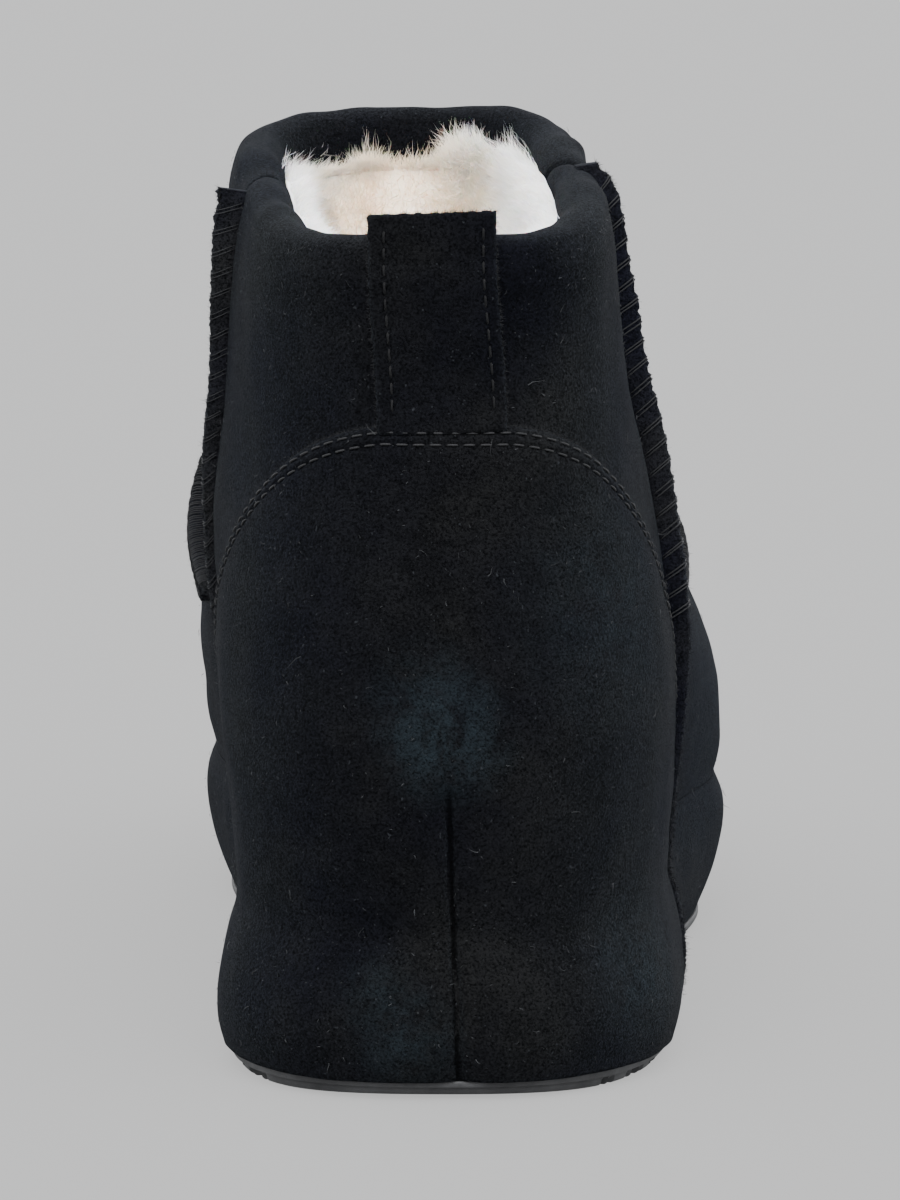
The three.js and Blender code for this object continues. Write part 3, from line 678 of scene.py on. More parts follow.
SUEDE = suede("suede", wear_and_painted_light_places=UPPER_PAINTED_LIGHT_AND_TOE_PATCH)
SUEDE_HEEL = suede("suede_heel", wear_and_painted_light_places=HEEL_WEAR_AND_PAINTED_LIGHT, dart=True)
SUEDE_EDGE = suede("suede_edge", lift=2.4)
RUBBER = rubber()
WOOL = wool("wool")
WOOL_BASE = wool("wool_base", 0.98)
STITCH = thread("thread", (0.016, 0.0165, 0.0175))
TAB_STITCH = thread("tab_thread", (0.0038, 0.0040, 0.0046))
SEAM_THREAD = thread("seam_thread", (0.019, 0.0195, 0.021))
HAIR_DARK = thread("dark_fibre", (0.0035, 0.0038, 0.0045))
HAIR_EDGE = thread("edge_fibre", (0.011, 0.0115, 0.013))
HAIR_LIGHT = thread("lint_fibre", (0.045, 0.047, 0.05))


# Upper, platform and sole

AROUND = turn(340)


def levels(start, end, a_row):
    return np.linspace(start, end, int(round((end - start) * a_row)) + 1)


def roll_pucker(angle, level):
    """The cross seams that draw in the rolled top over the side seams, where its two bands join"""
    total = np.zeros(np.broadcast(angle, level).shape)
    for side in (1, -1):
        middle = angle_at_length(SIDE_SEAM_TOP_Y + 6, COLLAR_LEVEL + 1.0, side) % (2 * math.pi)
        slant = middle + side * 0.05 * (level - CREST_LEVEL)
        away = np.abs((angle % (2 * math.pi)) - slant) * COLLAR_LENGTH / 2
        over = ease((level - COLLAR_LEVEL + 0.6) / 0.8) * ease((FACING_LEVEL - level) / 1.2)
        total += over * (1.3 * bell(away, 0.7) + 0.5 * bell(away, 3.2))
    return total


ROLL_WALL = 1.6


def make_upper():
    angle, level = np.meshgrid(AROUND, levels(CREASE_LEVEL, FACING_LEVEL, 11))
    base = form(angle, level)
    soft = ease((level - CREASE_LEVEL) / 0.4)
    roll = ease((level - COLLAR_LEVEL) / 1.0)
    swell = (nap_swell(base) * (1 + 1.2 * roll) - crease_depth(base)) * soft
    outer = at_offset(angle, level, swell - roll_pucker(angle, level))
    inner_angle, inner_level = np.meshgrid(AROUND, levels(CREASE_LEVEL, FACING_LEVEL, 2))
    thickness = mix(WALL, ROLL_WALL, ease((inner_level - COLLAR_LEVEL) / 1.0))
    inner = at_offset(inner_angle, inner_level, -thickness)
    for grid in (outer, inner):
        grid[0, :, 2] = platform_top(grid[0, :, 1])
    piece = add_mesh("upper_suede", *shell(outer, inner), SUEDE, node=("upper", "collar_facing"))


def closed_in(ring, steps):
    """Rings that shrink from a ring to the foot's middle line"""
    return [mix(ring, middle_line(ring), k / steps) for k in range(1, steps + 1)]


CAP_STEPS = 6


def make_platform():
    angle, level = np.meshgrid(AROUND, levels(0, CREASE_LEVEL, 12))
    base = form(angle, level)
    soft = np.sin(np.clip(level / CREASE_LEVEL, 0, 1) * math.pi)
    rings = at_offset(angle, level, soft * 0.9 * nap_swell(base))
    grid = np.array(closed_in(rings[0], CAP_STEPS)[::-1] + list(rings) + closed_in(rings[-1], CAP_STEPS))
    points, faces = grid.reshape(-1, 3), grid_faces(len(grid), len(AROUND), 0, True)
    piece = add_mesh("platform_suede", points, faces, SUEDE, node=("platform",), weld=True)


TREAD_PITCH = 11
TREAD_FIRST_AT = 0.09
TREAD_ZONES = [(0.085, 0.31), (0.555, 0.905)]  # heel and forefoot, as shares of the length
TREAD_HALF_WIDTH = 17
GROOVE_WIDTH = 2.6
GROOVE_DEPTH = 2.0
NOTCHED = (0.05, 0.955)  # the sole's edge has notches between these shares of the length
NOTCH_REACH = 9
SMALL_NOTCH_WIDTH = 1.1
SMALL_NOTCH_SHARE = 0.55
NOTCH_SLOPE = 0.35
# The sole's edge: share of its height, how far out, and how far a notch draws it in
SOLE_EDGE = [
    (0.0, -1.7, 2.2), (0.05, -1.3, 2.2), (0.16, -0.9, 2.0), (0.34, -0.75, 1.2), (0.44, -0.7, 0.2),
    (0.52, -0.6, 0), (0.56, 0.25, 0), (0.64, 0.4, 0), (0.9, 0.4, 0), (1.0, 0.2, 0),
]


def edge_notches(hem_ring):
    """How far each place round the sole lies in a large notch, and in any notch"""
    walked = run_along(hem_ring)
    at = hem_ring[:, 1] / SHOE_LENGTH
    plain = (at < NOTCHED[0]) | (at > NOTCHED[1])

    def notch(width, pitch, first):
        away = np.abs((walked - first + pitch / 2) % pitch - pitch / 2)
        return np.clip((width / 2 - away) / NOTCH_SLOPE + 0.5, 0, 1)

    large = notch(GROOVE_WIDTH, TREAD_PITCH, TREAD_PITCH) * ~plain
    small = notch(SMALL_NOTCH_WIDTH, TREAD_PITCH / 2, TREAD_PITCH / 4) * ~plain * SMALL_NOTCH_SHARE
    return large, np.maximum(large, small)


def tread_depth(ring, middle):
    past_bar = (ring[:, 1] - SHOE_LENGTH * TREAD_FIRST_AT + TREAD_PITCH / 2) % TREAD_PITCH - TREAD_PITCH / 2
    at = ring[:, 1] / SHOE_LENGTH
    zone = sum((at > start) & (at < end) for start, end in TREAD_ZONES) > 0
    in_groove = np.abs(past_bar) < GROOVE_WIDTH / 2
    return GROOVE_DEPTH * (in_groove & zone & (np.abs(ring[:, 0] - middle[:, 0]) < TREAD_HALF_WIDTH))


def make_outsole():
    angle = turn(720)
    hem_ring = form(angle, 0)
    outward = form_normal(angle, 0)
    outward[:, 2] = 0
    outward = unit(outward)
    large, cut = edge_notches(hem_ring)
    rings = []
    for share, out, drawn in SOLE_EDGE:
        ring = hem_ring + outward * (out - drawn * cut)[:, None]
        ring[:, 2] = mix(ground_line(ring[:, 1]), outsole_top(ring[:, 1]) - 0.1, share)
        rings.append(ring)
    middle = middle_line(rings[0])
    under = []
    for k in np.linspace(1, 0, 36)[:-1]:
        ring = mix(rings[0], middle, k)
        from_edge = np.linalg.norm(rings[0] - ring, axis=1)
        depth = np.maximum(tread_depth(ring, middle), GROOVE_DEPTH * large * (from_edge < NOTCH_REACH))
        ring[:, 2] = ground_line(ring[:, 1]) + depth + arch_lift(ring[:, 1])
        under.append(ring)
    rings[0][:, 2] += arch_lift(rings[0][:, 1])
    for below, above in ((0, 1), (1, 2)):
        rings[above][:, 2] = np.maximum(rings[above][:, 2], rings[below][:, 2] + 0.1)
    grid = np.array(under + rings + closed_in(rings[-1], 4))
    points, faces = grid.reshape(-1, 3), grid_faces(len(grid), len(angle), 0, True)
    piece = add_mesh("outsole_rubber", points, faces, RUBBER, node=("outsole",), weld=True)
    piece.data.set_sharp_from_angle(angle=math.radians(38))


# Heel cover: its outline from the side, and its grid from the top edge down to the hem

def seam_length(z):
    return mix(SIDE_SEAM_FOOT_Y, SIDE_SEAM_TOP_Y, np.clip(z / COLLAR_BACK_HEIGHT, 0, 1))


SEAM_CLEAR = SEAM_WIDTH / 2 + FIT_GAP * 2


def cover_edge_height(y):
    corner = seam_length(COVER_CORNER_HEIGHT) - SEAM_CLEAR
    t = np.linspace(0, 1, 60)
    weights = [(1 - t) ** 3, 3 * t * (1 - t) ** 2, 3 * t**2 * (1 - t), t**3]
    along = [mix(COVER_LEVEL_END_Y, corner, share) for share in (0, 0.22, 0.62, 1)]
    height = [mix(COVER_CORNER_HEIGHT, COVER_TOP_HEIGHT, share) for share in (1, 0.9, 0.42, 0)]
    ys = sum(w * v for w, v in zip(weights, along))
    zs = sum(w * v for w, v in zip(weights, height))
    return np.interp(y, ys, zs)


STITCH_ROWS = (1.1, 3.2)  # below the heel cover's edge


def cover_angle(share, level):
    side = np.sign(share) + (share == 0)
    z = form(side * math.pi / 2, level)[..., 2]
    zero = np.zeros(np.broadcast(share, level).shape)
    target = seam_length(z) - SEAM_CLEAR
    edge = solve(zero, zero + math.pi, lambda a: form(side * a, level)[..., 1] < target)
    return share * edge


COVER_EDGE_ROUND = 0.9
COVER_HALF_LENGTH = 80  # from its middle to its side edge, roughly


def cover_relief(base, below, shares, angle):
    """The heel cover's outside over the form: its stitched edge, its creases and its dart"""
    row = sum(bell(below - d, 0.55) for d in STITCH_ROWS)
    offset = FIT_GAP + COVER_THICKNESS - 0.32 * row + 0.18 * bell(below - 2.6, 0.6)
    offset -= COVER_EDGE_ROUND * (1 - ease(below / 0.9))
    offset -= COVER_EDGE_ROUND * (1 - ease((1 - np.abs(shares)) * COVER_HALF_LENGTH / 1.6))
    offset += (nap_swell(base) - 0.5 * crease_depth(base)) * ease(below / 6)
    x, z = base[..., 0], base[..., 2]
    dart_x = mix(DART_HEM_X, DART_TOP_X, z / DART_HEIGHT)
    from_dart = x - dart_x - 0.25 * np.sin(z / 9) - 0.15 * np.sin(z / 2.3)
    at_back = np.abs(angle) < 0.6
    sewn = ease((DART_HEIGHT - z) / 6) * at_back
    offset -= sewn * (1.1 * bell(from_dart, 0.75) + 0.8 * bell(from_dart, 3.6))
    to_top = np.hypot(from_dart, z - DART_HEIGHT + 2)
    return offset - bell(to_top, 2.6) * at_back


def at_depth(below, grid, depth):
    """A line across a grid, at a depth below its top edge"""
    columns = range(grid.shape[1])
    return np.array([[np.interp(depth, below[:, c], grid[:, c, k]) for k in range(3)] for c in columns])


COVER_COLUMNS = 225
COVER_EDGE_ROWS = 26
COVER_EDGE_DEPTH = 0.75  # of a level, in finer rows below the edge
COVER_PLAIN_ROWS = 80
COVER_HEM_LEVEL = 0.06


def make_cover():
    t = np.linspace(-1, 1, COVER_COLUMNS)
    share = t * (0.4 + 0.6 * t * t)
    zero = np.zeros(len(share))

    def below_edge(level):
        p = form(cover_angle(share, level), level)
        return p[:, 2] < cover_edge_height(p[:, 1])

    top = solve(zero + 2, zero + COLLAR_LEVEL, below_edge)
    level = [top - drop for drop in np.linspace(0, COVER_EDGE_DEPTH, COVER_EDGE_ROWS)]
    down = np.linspace(0, 1, COVER_PLAIN_ROWS + 1)[1:]
    level = np.array(level + [mix(level[-1], COVER_HEM_LEVEL, k) for k in down])
    shares = np.broadcast_to(share, level.shape)
    angle = cover_angle(shares, level)
    base, normal = form(angle, level), form_normal(angle, level)
    steps = np.linalg.norm(np.diff(base, axis=0), axis=-1)
    below = np.concatenate([np.zeros((1, len(share))), np.cumsum(steps, axis=0)])
    outer = base + normal * cover_relief(base, below, shares, angle)[..., None]
    inner = base + normal * FIT_GAP * 0.4
    mesh = sheet(outer[:, ::-1], inner[:, ::-1])
    piece = add_mesh("heel_cover_suede", *mesh, SUEDE_HEEL, node=("heel_cover",))
    lines = [(at_depth(below, outer, d), unit(at_depth(below, normal, d))) for d in STITCH_ROWS]
    return lines, outer, normal


STITCH_BOW = 0.12
STITCH_SINK = 0.1


def stitch_line(line, out, pitch, gap, radius, start=0.0):
    """Stitches along a line on a surface: paths that rise out of one hole and dip into the next"""
    reach = run_along(line)
    begins = np.arange(start, reach[-1] - pitch, pitch)
    t = np.linspace(0, 1, 7)
    at = begins[:, None] + gap / 2 + t[None, :] * (pitch - gap)
    path = np.stack([np.interp(at, reach, line[:, k]) for k in range(3)], -1)
    way = unit(np.stack([np.interp(at, reach, out[:, k]) for k in range(3)], -1))
    lift = radius * 0.6 + STITCH_BOW * np.sin(t * math.pi) - (STITCH_SINK + radius) * np.abs(2 * t - 1) ** 6
    return path + way * lift[None, :, None], radius


def add_stitches(name, groups, material, sides=6):
    points, faces, count = [], [], 0
    for paths, radius in groups:
        p, f = tube(paths, radius, sides)
        faces += [[v + count for v in face] for face in f]
        points.append(p)
        count += len(p)
    return add_mesh(name, np.concatenate(points), faces, material)


# Pull tab

def tab_angle(x, level):
    side = np.sign(x) + (x == 0)
    centre = form(0, level)[..., 0]
    zero = np.zeros(np.broadcast(x, level).shape)

    def nearer(a):
        return np.abs(form(side * a, level)[..., 0] - centre) < np.abs(x)

    return side * solve(zero, zero + math.pi / 2, nearer) * (x != 0)


def make_tab():
    foot = float(level_at_height(0.0, COVER_TOP_HEIGHT - 1.2))
    x = np.linspace(-0.5, 0.5, 41) * TAB_WIDTH
    level = np.linspace(foot, COLLAR_LEVEL, 60)
    xs, ls = np.meshgrid(x, level)
    angle = tab_angle(xs - mix(TAB_LEAN_FOOT, TAB_LEAN, ease((ls - foot) / (COLLAR_LEVEL - foot))), ls)
    base, normal = form(angle, ls), form_normal(angle, ls)
    up = np.linspace(0, 1, 16)[1:, None, None]
    rise = np.array([0, 0, ROLL_RADIUS + TAB_PROUD]) * up
    base = np.concatenate([base, base[-1:] + rise])
    normal = np.concatenate([normal, np.repeat(normal[-1:], len(up), 0)])
    xs = np.broadcast_to(x, base.shape[:2])
    to_edge = TAB_WIDTH / 2 - np.abs(xs)
    margin = np.where(xs < 0, *TAB_MARGINS)
    from_top = base[-1, :, 2] - base[..., 2]
    offset = FIT_GAP + TAB_THICKNESS - 0.3 * bell(to_edge - margin, 0.5)
    offset -= 0.5 * (1 - ease(to_edge / 0.7)) + 0.4 * (1 - ease(from_top / 0.8))
    offset += 0.12 * waves(base, 8, 11)
    ragged = 0.18 * waves(base * 3, 4, 12)
    outer = base + normal * offset[..., None]
    inner = base + normal * (FIT_GAP * 0.5)
    for grid in (outer, inner):
        grid[..., 0] += ragged * (1 - ease(to_edge / 1.5)) * np.sign(xs)
        grid[..., 2] += ragged * (1 - ease(from_top / 1.5))
    piece = add_mesh("pull_tab_suede", *sheet(outer, inner), SUEDE, node=("pull_tab",))
    lines = []
    for side, inset in zip((-1, 1), TAB_MARGINS):
        column = int(np.argmin(np.abs(x - side * (TAB_WIDTH / 2 - inset))))
        lines.append((outer[4:, column], normal[4:, column]))
    return lines, outer


# Raised seams: two raw edges standing together, whipped with thick thread

def seam_frame(side):
    """Along a side seam: its line on the form, and the way out. The outer one goes part way over the roll."""
    outer = side > 0
    rim = COLLAR_LEVEL + (1.9 if outer else 0.9)
    level = np.linspace(0.15, rim, 340)
    on_leg = np.minimum(level, COLLAR_LEVEL + (1.3 if outer else 0))
    z = form(side * math.pi / 2, on_leg)[:, 2]
    zero = np.zeros(len(level))
    target = seam_length(z)
    angle = side * solve(zero, zero + math.pi, lambda a: form(side * a, on_leg)[..., 1] < target)
    base = form(angle, on_leg)
    base[:, 2] = form(angle, level)[:, 2] + 0.6 * outer * ease((level - COLLAR_LEVEL - 1) / 0.9)
    return base, form_normal(angle, np.minimum(level, COLLAR_LEVEL - 0.3))


def instep_frame():
    clear = SEAM_WIDTH / 2 + FIT_GAP * 3
    foot = INSTEP_SEAM_FOOT_HEIGHT + SEAM_WIDTH / 2
    ends = []
    for side in (1, -1):
        level = level_at_height(side * math.pi / 2, foot)
        ends.append(float(angle_at_length(seam_length(INSTEP_SEAM_FOOT_HEIGHT) + clear, level, side)))
    share = np.linspace(0, 1, 240)
    angle = mix(ends[0], 2 * math.pi + ends[1], share)
    height = mix(foot, INSTEP_SEAM_HEIGHT, np.sin(share * math.pi) ** INSTEP_SEAM_FULLNESS)
    level = level_at_height(angle, height)
    return form(angle, level), form_normal(angle, level)


STITCH_PITCH = 3.9
# Heights above the floor, and the share of the seam's height there
OUTER_SEAM_TALL = [
    (0, 0.6), (45, 0.65), (74, 1.15), (96, 1.1), (112, 1.3), (136, 1.3), (147, 1.05), (158, 0.9), (161, 0.7),
    (164, 0.35),
]
INNER_SEAM_TALL = [(0, 0.5), (96, 0.5), (118, 0.8), (140, 1.1), (157, 1.3)]
INSTEP_SEAM_TALL = [(0, 1)]


def mirrored(half, middle):
    return half + [(0.0, middle)] + [(-across, high) for across, high in half[::-1]]


# Across the ridge: shares of the seam's width and height
SEAM_PROFILE = mirrored(
    [(-0.5, -0.12), (-0.47, 0.25), (-0.42, 0.62), (-0.36, 0.9), (-0.22, 1.0), (-0.08, 0.97)], 0.84
)
SEAM_NARROWING = 0.9


def make_seam(name, node, frame, tall):
    """A ridge along a line, drawn in a little at each stitch"""
    base, normal = frame
    across = unit(np.cross(normal, unit(np.gradient(base, axis=0))))
    drawn_in = np.abs(np.cos(run_along(base) * math.pi / STITCH_PITCH)) ** 6
    height = np.interp(base[:, 2], *zip(*tall)) * (1 - 0.05 * drawn_in)
    rings = []
    for w, high in SEAM_PROFILE:
        shaggy = 0.2 * waves(base * 2 + w * 9, 3, 21) + 0.14 * waves(base * 2 - w * 7, 1.3, 22)
        out = high * SEAM_HEIGHT * height + shaggy * max(high, 0) - (high < 0) * 2.2
        side = w * SEAM_WIDTH * SEAM_NARROWING + 0.5 * shaggy * np.sign(w)
        rings.append(base + across * side[:, None] + normal * out[:, None])
    grid = np.stack(rings, 1)
    n = grid.shape[1]
    faces = grid_faces(len(grid), n, 0, True)
    faces.append(list(range(n))[::-1])
    faces.append([(len(grid) - 1) * n + k for k in range(n)])
    piece = add_mesh(name, grid.reshape(-1, 3), faces, SUEDE_EDGE, node=(node,))
    return base, normal, across, height


# Over the ridge, from one foot to the other, in the same shares
WHIP = mirrored([(-0.5, 0.0), (-0.5, 0.25), (-0.49, 0.5), (-0.47, 0.72), (-0.38, 0.94), (-0.2, 1.02)], 0.96)


def whip_stitches(base, normal, across, height, pitch, slant, radius, from_height=0):
    """Thread over the ridge from foot to foot, in pairs, rising towards the ridge on its near side"""
    reach = run_along(base)
    begin_at = float(np.interp(from_height, base[:, 2], reach)) if from_height else 0
    wide, high = np.array(WHIP).T
    slide = slant * (1 - high) * np.sign(wide)
    paths = []
    for begin in np.arange(begin_at + pitch, reach[-1] - pitch * 0.6, pitch):
        for twin in (0, 0.7):
            at = begin + twin - slide + random.normal(0, 0.12)
            line = [np.interp(at, reach, column) for column in (*base.T, *across.T, *normal.T, height)]
            place, over, out = (np.stack(line[k:k + 3], -1) for k in (0, 3, 6))
            up = high * SEAM_HEIGHT * line[9] + radius * 0.5
            paths.append(place + over * (wide * SEAM_WIDTH * 0.93)[:, None] + out * up[:, None])
    return np.array(paths), radius


# Wool: a lumpy bed with hairs over it, longest over the facing's edge

def wool_depth(points, angle, level):
    locks = 1.3 * np.sin(9 * angle + 1.7 * level) * np.cos(2.6 * level - 5 * angle)
    return 7.2 + locks + 0.9 * waves(points, 7, 31)


WOOL_TOP = COLLAR_LEVEL - 0.15


def wool_bed(angle, level):
    base = form(angle, level)
    depth = wool_depth(base, angle, level)
    rounded = np.sqrt(np.clip(1 - ((level - (WOOL_TOP - 0.9)) / 0.9).clip(0, 1) ** 2, 0, 1))
    return at_offset(angle, level, -(WALL + FIT_GAP + 1.0) - depth * mix(0.55, 1.0, rounded))


def make_wool():
    around = turn(300)
    angle, level = np.meshgrid(around, levels(CREASE_LEVEL + 0.3, WOOL_TOP, 7))
    inner = wool_bed(angle, level)
    back_angle, back_level = np.meshgrid(around, levels(CREASE_LEVEL + 0.3, WOOL_TOP, 1.5))
    outer = at_offset(back_angle, back_level, np.full(back_level.shape, -(WALL + FIT_GAP)))
    for grid in (outer, inner):
        floor = platform_top(grid[0, :, 1]) + INSOLE_THICKNESS * 0.5
        grid[0, :, 2] = np.minimum(grid[0, :, 2], floor)
    piece = add_mesh("wool_bed", *shell(outer, inner), WOOL_BASE, node=("wool_lining",))


# The wool over the facing's edge, round the collar: angle in degrees, its top's level, its hairs' length
CUFF = [
    (0, 17.7, 2.2), (50, 17.7, 2.2), (80, 17.75, 2.2), (100, 17.8, 2.8), (118, 18.15, 4.2),
    (133, 18.2, 4.4), (143, 18.85, 2.4), (150, 18.7, 3.4), (159, 18.3, 5.0), (169, 18.4, 4.8),
    (176, 18.9, 2.8), (183, 18.85, 4.2), (190, 19.0, 2.2), (205, 18.95, 2.4), (218, 18.7, 3.4),
    (232, 18.5, 3.6), (246, 18.1, 3.4), (262, 17.8, 2.8), (290, 17.7, 2.2), (360, 17.7, 2.2),
]
CUFF_ANGLES, CUFF_LEVELS, CUFF_HAIRS = np.array(CUFF, float).T


def cuff_reach(angle):
    at = np.degrees(angle) % 360
    ragged = 0.5 * np.sin(7 * angle + 0.8) + 0.5 * np.sin(13 * angle + 2.1) + 0.4 * np.sin(29 * angle)
    return np.interp(at, CUFF_ANGLES, CUFF_LEVELS) + 0.05 * ragged


CUFF_DEPTH = 22
CUFF_THICKNESS = 3.2
CUFF_SWELL = 3.6  # and this much more at its foot, where it meets the bed


def cuff_edge(angle, share):
    """The facing behind the cuff, and straight down below its edge. share: 0 at the edge, 1 at the top"""
    level = mix(FACING_LEVEL, cuff_reach(angle), ease(share))
    below = np.clip(-share, 0, 1)
    return form(angle, level) - below[..., None] * [0, 0, CUFF_DEPTH], form_normal(angle, level), below


def cuff_point(angle, share):
    base, normal, below = cuff_edge(angle, share)
    crown = np.sqrt(np.clip(1 - np.clip(share, 0, 1) ** 2.2, 0, 1))
    thick = CUFF_THICKNESS * crown + CUFF_SWELL * ease(below * 1.6)
    thick = thick + 0.6 * waves(base, 8, 32) * ease(thick / 1.5)
    return base + normal * (0.3 + thick)[..., None]


def make_cuff():
    around = turn(360)
    inner = cuff_point(*np.meshgrid(around, np.linspace(-1, 1, 33)))
    outer, normal, _ = cuff_edge(*np.meshgrid(around, np.linspace(-1, 1, 9)))
    add_mesh("wool_cuff", *shell(outer + normal * 0.05, inner), WOOL_BASE)


def turned_inwards(way, inside, least):
    """Ways whose inward part is at least so much, so that no hair comes out through the wall"""
    short = np.clip(least - (way * inside).sum(-1, keepdims=True), 0, None)
    return way + inside * short


def cuff_fur(name, count, clumps, spread, reach, width, steps):
    middle_angle = math.pi + random.triangular(-1, 0, 1, clumps) * math.pi * 1.15
    middle_share = random.uniform(-0.85, 0.95, clumps)
    lock = random.integers(0, clumps, count)
    angle = middle_angle[lock] + random.normal(0, spread, count)
    share = np.clip(middle_share[lock] + random.normal(0, 0.12, count), -1, 0.97)
    root = cuff_point(angle, share)
    inside = np.stack([-np.sin(angle), np.cos(angle), np.zeros(count)], -1)
    front = ((1 - np.cos(angle)) / 2)[:, None]
    side = (np.sin(angle) ** 2)[:, None]
    lean = random.normal(0, 0.34, (clumps, 3))[lock] + random.normal(0, 0.16, (count, 3))
    heading = inside * (mix(0.5, 0.3, front) + 0.45 * side) + np.array([0, 0, 0.9]) + lean
    heading = turned_inwards(unit(heading), inside, 0.28)
    length = np.interp(np.degrees(angle) % 360, CUFF_ANGLES, CUFF_HAIRS) * reach
    length = length * random.uniform(0.5, 1.15, count) * random.uniform(0.8, 1.15, clumps)[lock]
    droop = turned_inwards(random.normal(0, 0.25, (clumps, 3))[lock] + inside * 0.3, inside, 0.05)
    widths = width * random.uniform(0.7, 1.2, count)
    points, faces = strands(root - inside * 0.5, heading, length, widths, droop, 0.18, steps)
    add_mesh(name, points, faces, WOOL)


def clumped(count, low, high, clumps):
    """Root angles and levels gathered round the middles of locks, and each root's lock"""
    middle_angle = random.uniform(0, 2 * math.pi, clumps)
    middle_level = random.uniform(low, high, clumps)
    lock = random.integers(0, clumps, count)
    angle = middle_angle[lock] + random.normal(0, 0.055, count)
    level = np.clip(middle_level[lock] + random.normal(0, 0.18, count), low, high)
    return angle, level, lock


def make_fur(name, count, low, high, clumps, reach, up, inwards, width):
    angle, level, lock = clumped(count, low, high, clumps)
    root = wool_bed(angle, level)
    inside = -form_normal(angle, level)
    lean = random.normal(0, 0.5, (clumps, 3))[lock]
    heading = inside * inwards + np.array([0, 0, 1]) * up + lean * 0.6 + random.normal(0, 0.22, (count, 3))
    heading = turned_inwards(unit(heading), inside, 0.3)
    length = reach * random.uniform(0.55, 1.1, count) * random.uniform(0.8, 1.15, clumps)[lock]
    droop = turned_inwards(random.normal(0, 0.3, (clumps, 3))[lock], inside, 0.0) + np.array([0, 0, -0.25])
    widths = width * random.uniform(0.7, 1.2, count)
    points, faces = strands(root - inside * 0.6, heading, length, widths, droop, 0.14, 4)
    add_mesh(name, points, faces, WOOL)


def make_insole():
    around = turn(240)
    out = form_normal(around, CREASE_LEVEL)
    out[:, 2] = 0
    edge = form(around, CREASE_LEVEL) - unit(out) * (WALL + FIT_GAP * 3)
    middle = middle_line(edge)
    rows = []
    for k in np.linspace(1, 0, 22):
        row = mix(edge, middle, k)
        lumps = 0.8 * waves(row, 6, 41) + 0.5 * waves(row, 2.6, 42)
        row[:, 2] = platform_top(row[:, 1]) + INSOLE_THICKNESS - 0.4 + lumps
        rows.append(row)
    base = edge.copy()
    base[:, 2] = platform_top(base[:, 1]) + 0.2
    grid = np.array(rows + [base] + closed_in(base, 3))
    points, faces = grid.reshape(-1, 3), grid_faces(len(grid), len(around), 0, True, True)
    piece = add_mesh("insole_fleece", points, faces, WOOL_BASE, node=("insole",), weld=True)


# Loose fibres: fuzz along raw edges, and lint on the suede

def edge_fuzz(name, lines, a_mm, reach, material):
    roots, ways = [], []
    for line, out in lines:
        length = np.linalg.norm(np.diff(line, axis=0), axis=1).sum()
        at = random.uniform(0, len(line) - 1.001, int(length * a_mm))
        low, share = at.astype(int), (at % 1)[:, None]
        roots.append(mix(line[low], line[low + 1], share))
        ways.append(mix(out[low], out[low + 1], share))
    roots, ways = np.concatenate(roots), np.concatenate(ways)
    n = len(roots)
    ways = unit(ways) + random.normal(0, 0.55, (n, 3))
    length = reach * random.uniform(0.3, 1.2, n)
    bend = random.normal(0, 0.4, (n, 3))
    points, faces = strands(roots, ways, length, np.full(n, 0.07), bend, 0.1, 3)
    add_mesh(name, points, faces, material)


def lint(name, count):
    angle = random.uniform(0, 2 * math.pi, count)
    level = random.uniform(0.6, COLLAR_LEVEL + 1, count)
    covered = form(angle, level)
    behind = covered[:, 1] < seam_length(covered[:, 2]) - SEAM_CLEAR
    under_cover = behind & (covered[:, 2] < cover_edge_height(covered[:, 1]))
    lift = np.where(under_cover, FIT_GAP + COVER_THICKNESS + 0.25, 0.25)
    normal = form_normal(angle, level)
    root = covered + normal * lift[:, None]
    way = unit(np.cross(normal, random.normal(size=(count, 3)))) + normal * 0.25
    length = random.gamma(0.8, 0.5, count).clip(0.25, 4.5)
    points, faces = strands(root, way, length, np.full(count, 0.1), random.normal(0, 0.4, (count, 3)), 0.2, 4)
    add_mesh(name, points, faces, HAIR_LIGHT)


make_upper()
make_platform()
make_outsole()
cover_lines, cover_grid, cover_normal = make_cover()
tab_lines, tab_grid = make_tab()
seams = {
    "outer": make_seam("outer_seam_suede", "side_seam_outer", seam_frame(1), OUTER_SEAM_TALL),
    "inner": make_seam("inner_seam_suede", "side_seam_inner", seam_frame(-1), INNER_SEAM_TALL),
    "instep": make_seam("instep_seam_suede", "instep_seam", instep_frame(), INSTEP_SEAM_TALL),
}
make_wool()
make_insole()
make_cuff()
cuff_fur("wool_locks_top", 30000, 900, 0.03, 1.05, 0.18, 4)
cuff_fur("wool_locks_fine", 42000, 3000, 0.05, 0.8, 0.16, 3)
cuff_fur("wool_locks_loose", 2400, 140, 0.04, 1.5, 0.12, 5)
make_fur("wool_locks_rim", 9000, COLLAR_LEVEL - 2.2, WOOL_TOP, 420, 8.0, 0.6, 0.7, 0.3)
make_fur("wool_locks_deep", 9000, CREASE_LEVEL + 1.5, COLLAR_LEVEL - 1.8, 520, 7.5, 0.35, 0.8, 0.4)

cover_groups = [stitch_line(line, out, 3.0, 0.8, 0.2) for line, out in cover_lines]
add_stitches("cover_stitches", cover_groups, STITCH)
tab_groups = [stitch_line(line, out, 3.0, 0.7, 0.22, 1.2) for line, out in tab_lines]
add_stitches("tab_stitches", tab_groups, TAB_STITCH)
seam_groups = [
    whip_stitches(*seams["outer"], STITCH_PITCH, 2.3, 0.14, 76),
    whip_stitches(*seams["inner"], STITCH_PITCH, 2.0, 0.08, 76),
    whip_stitches(*seams["instep"], STITCH_PITCH / 2.5, 0.2, 0.12),
]
add_stitches("seam_stitches", seam_groups, SEAM_THREAD, 5)

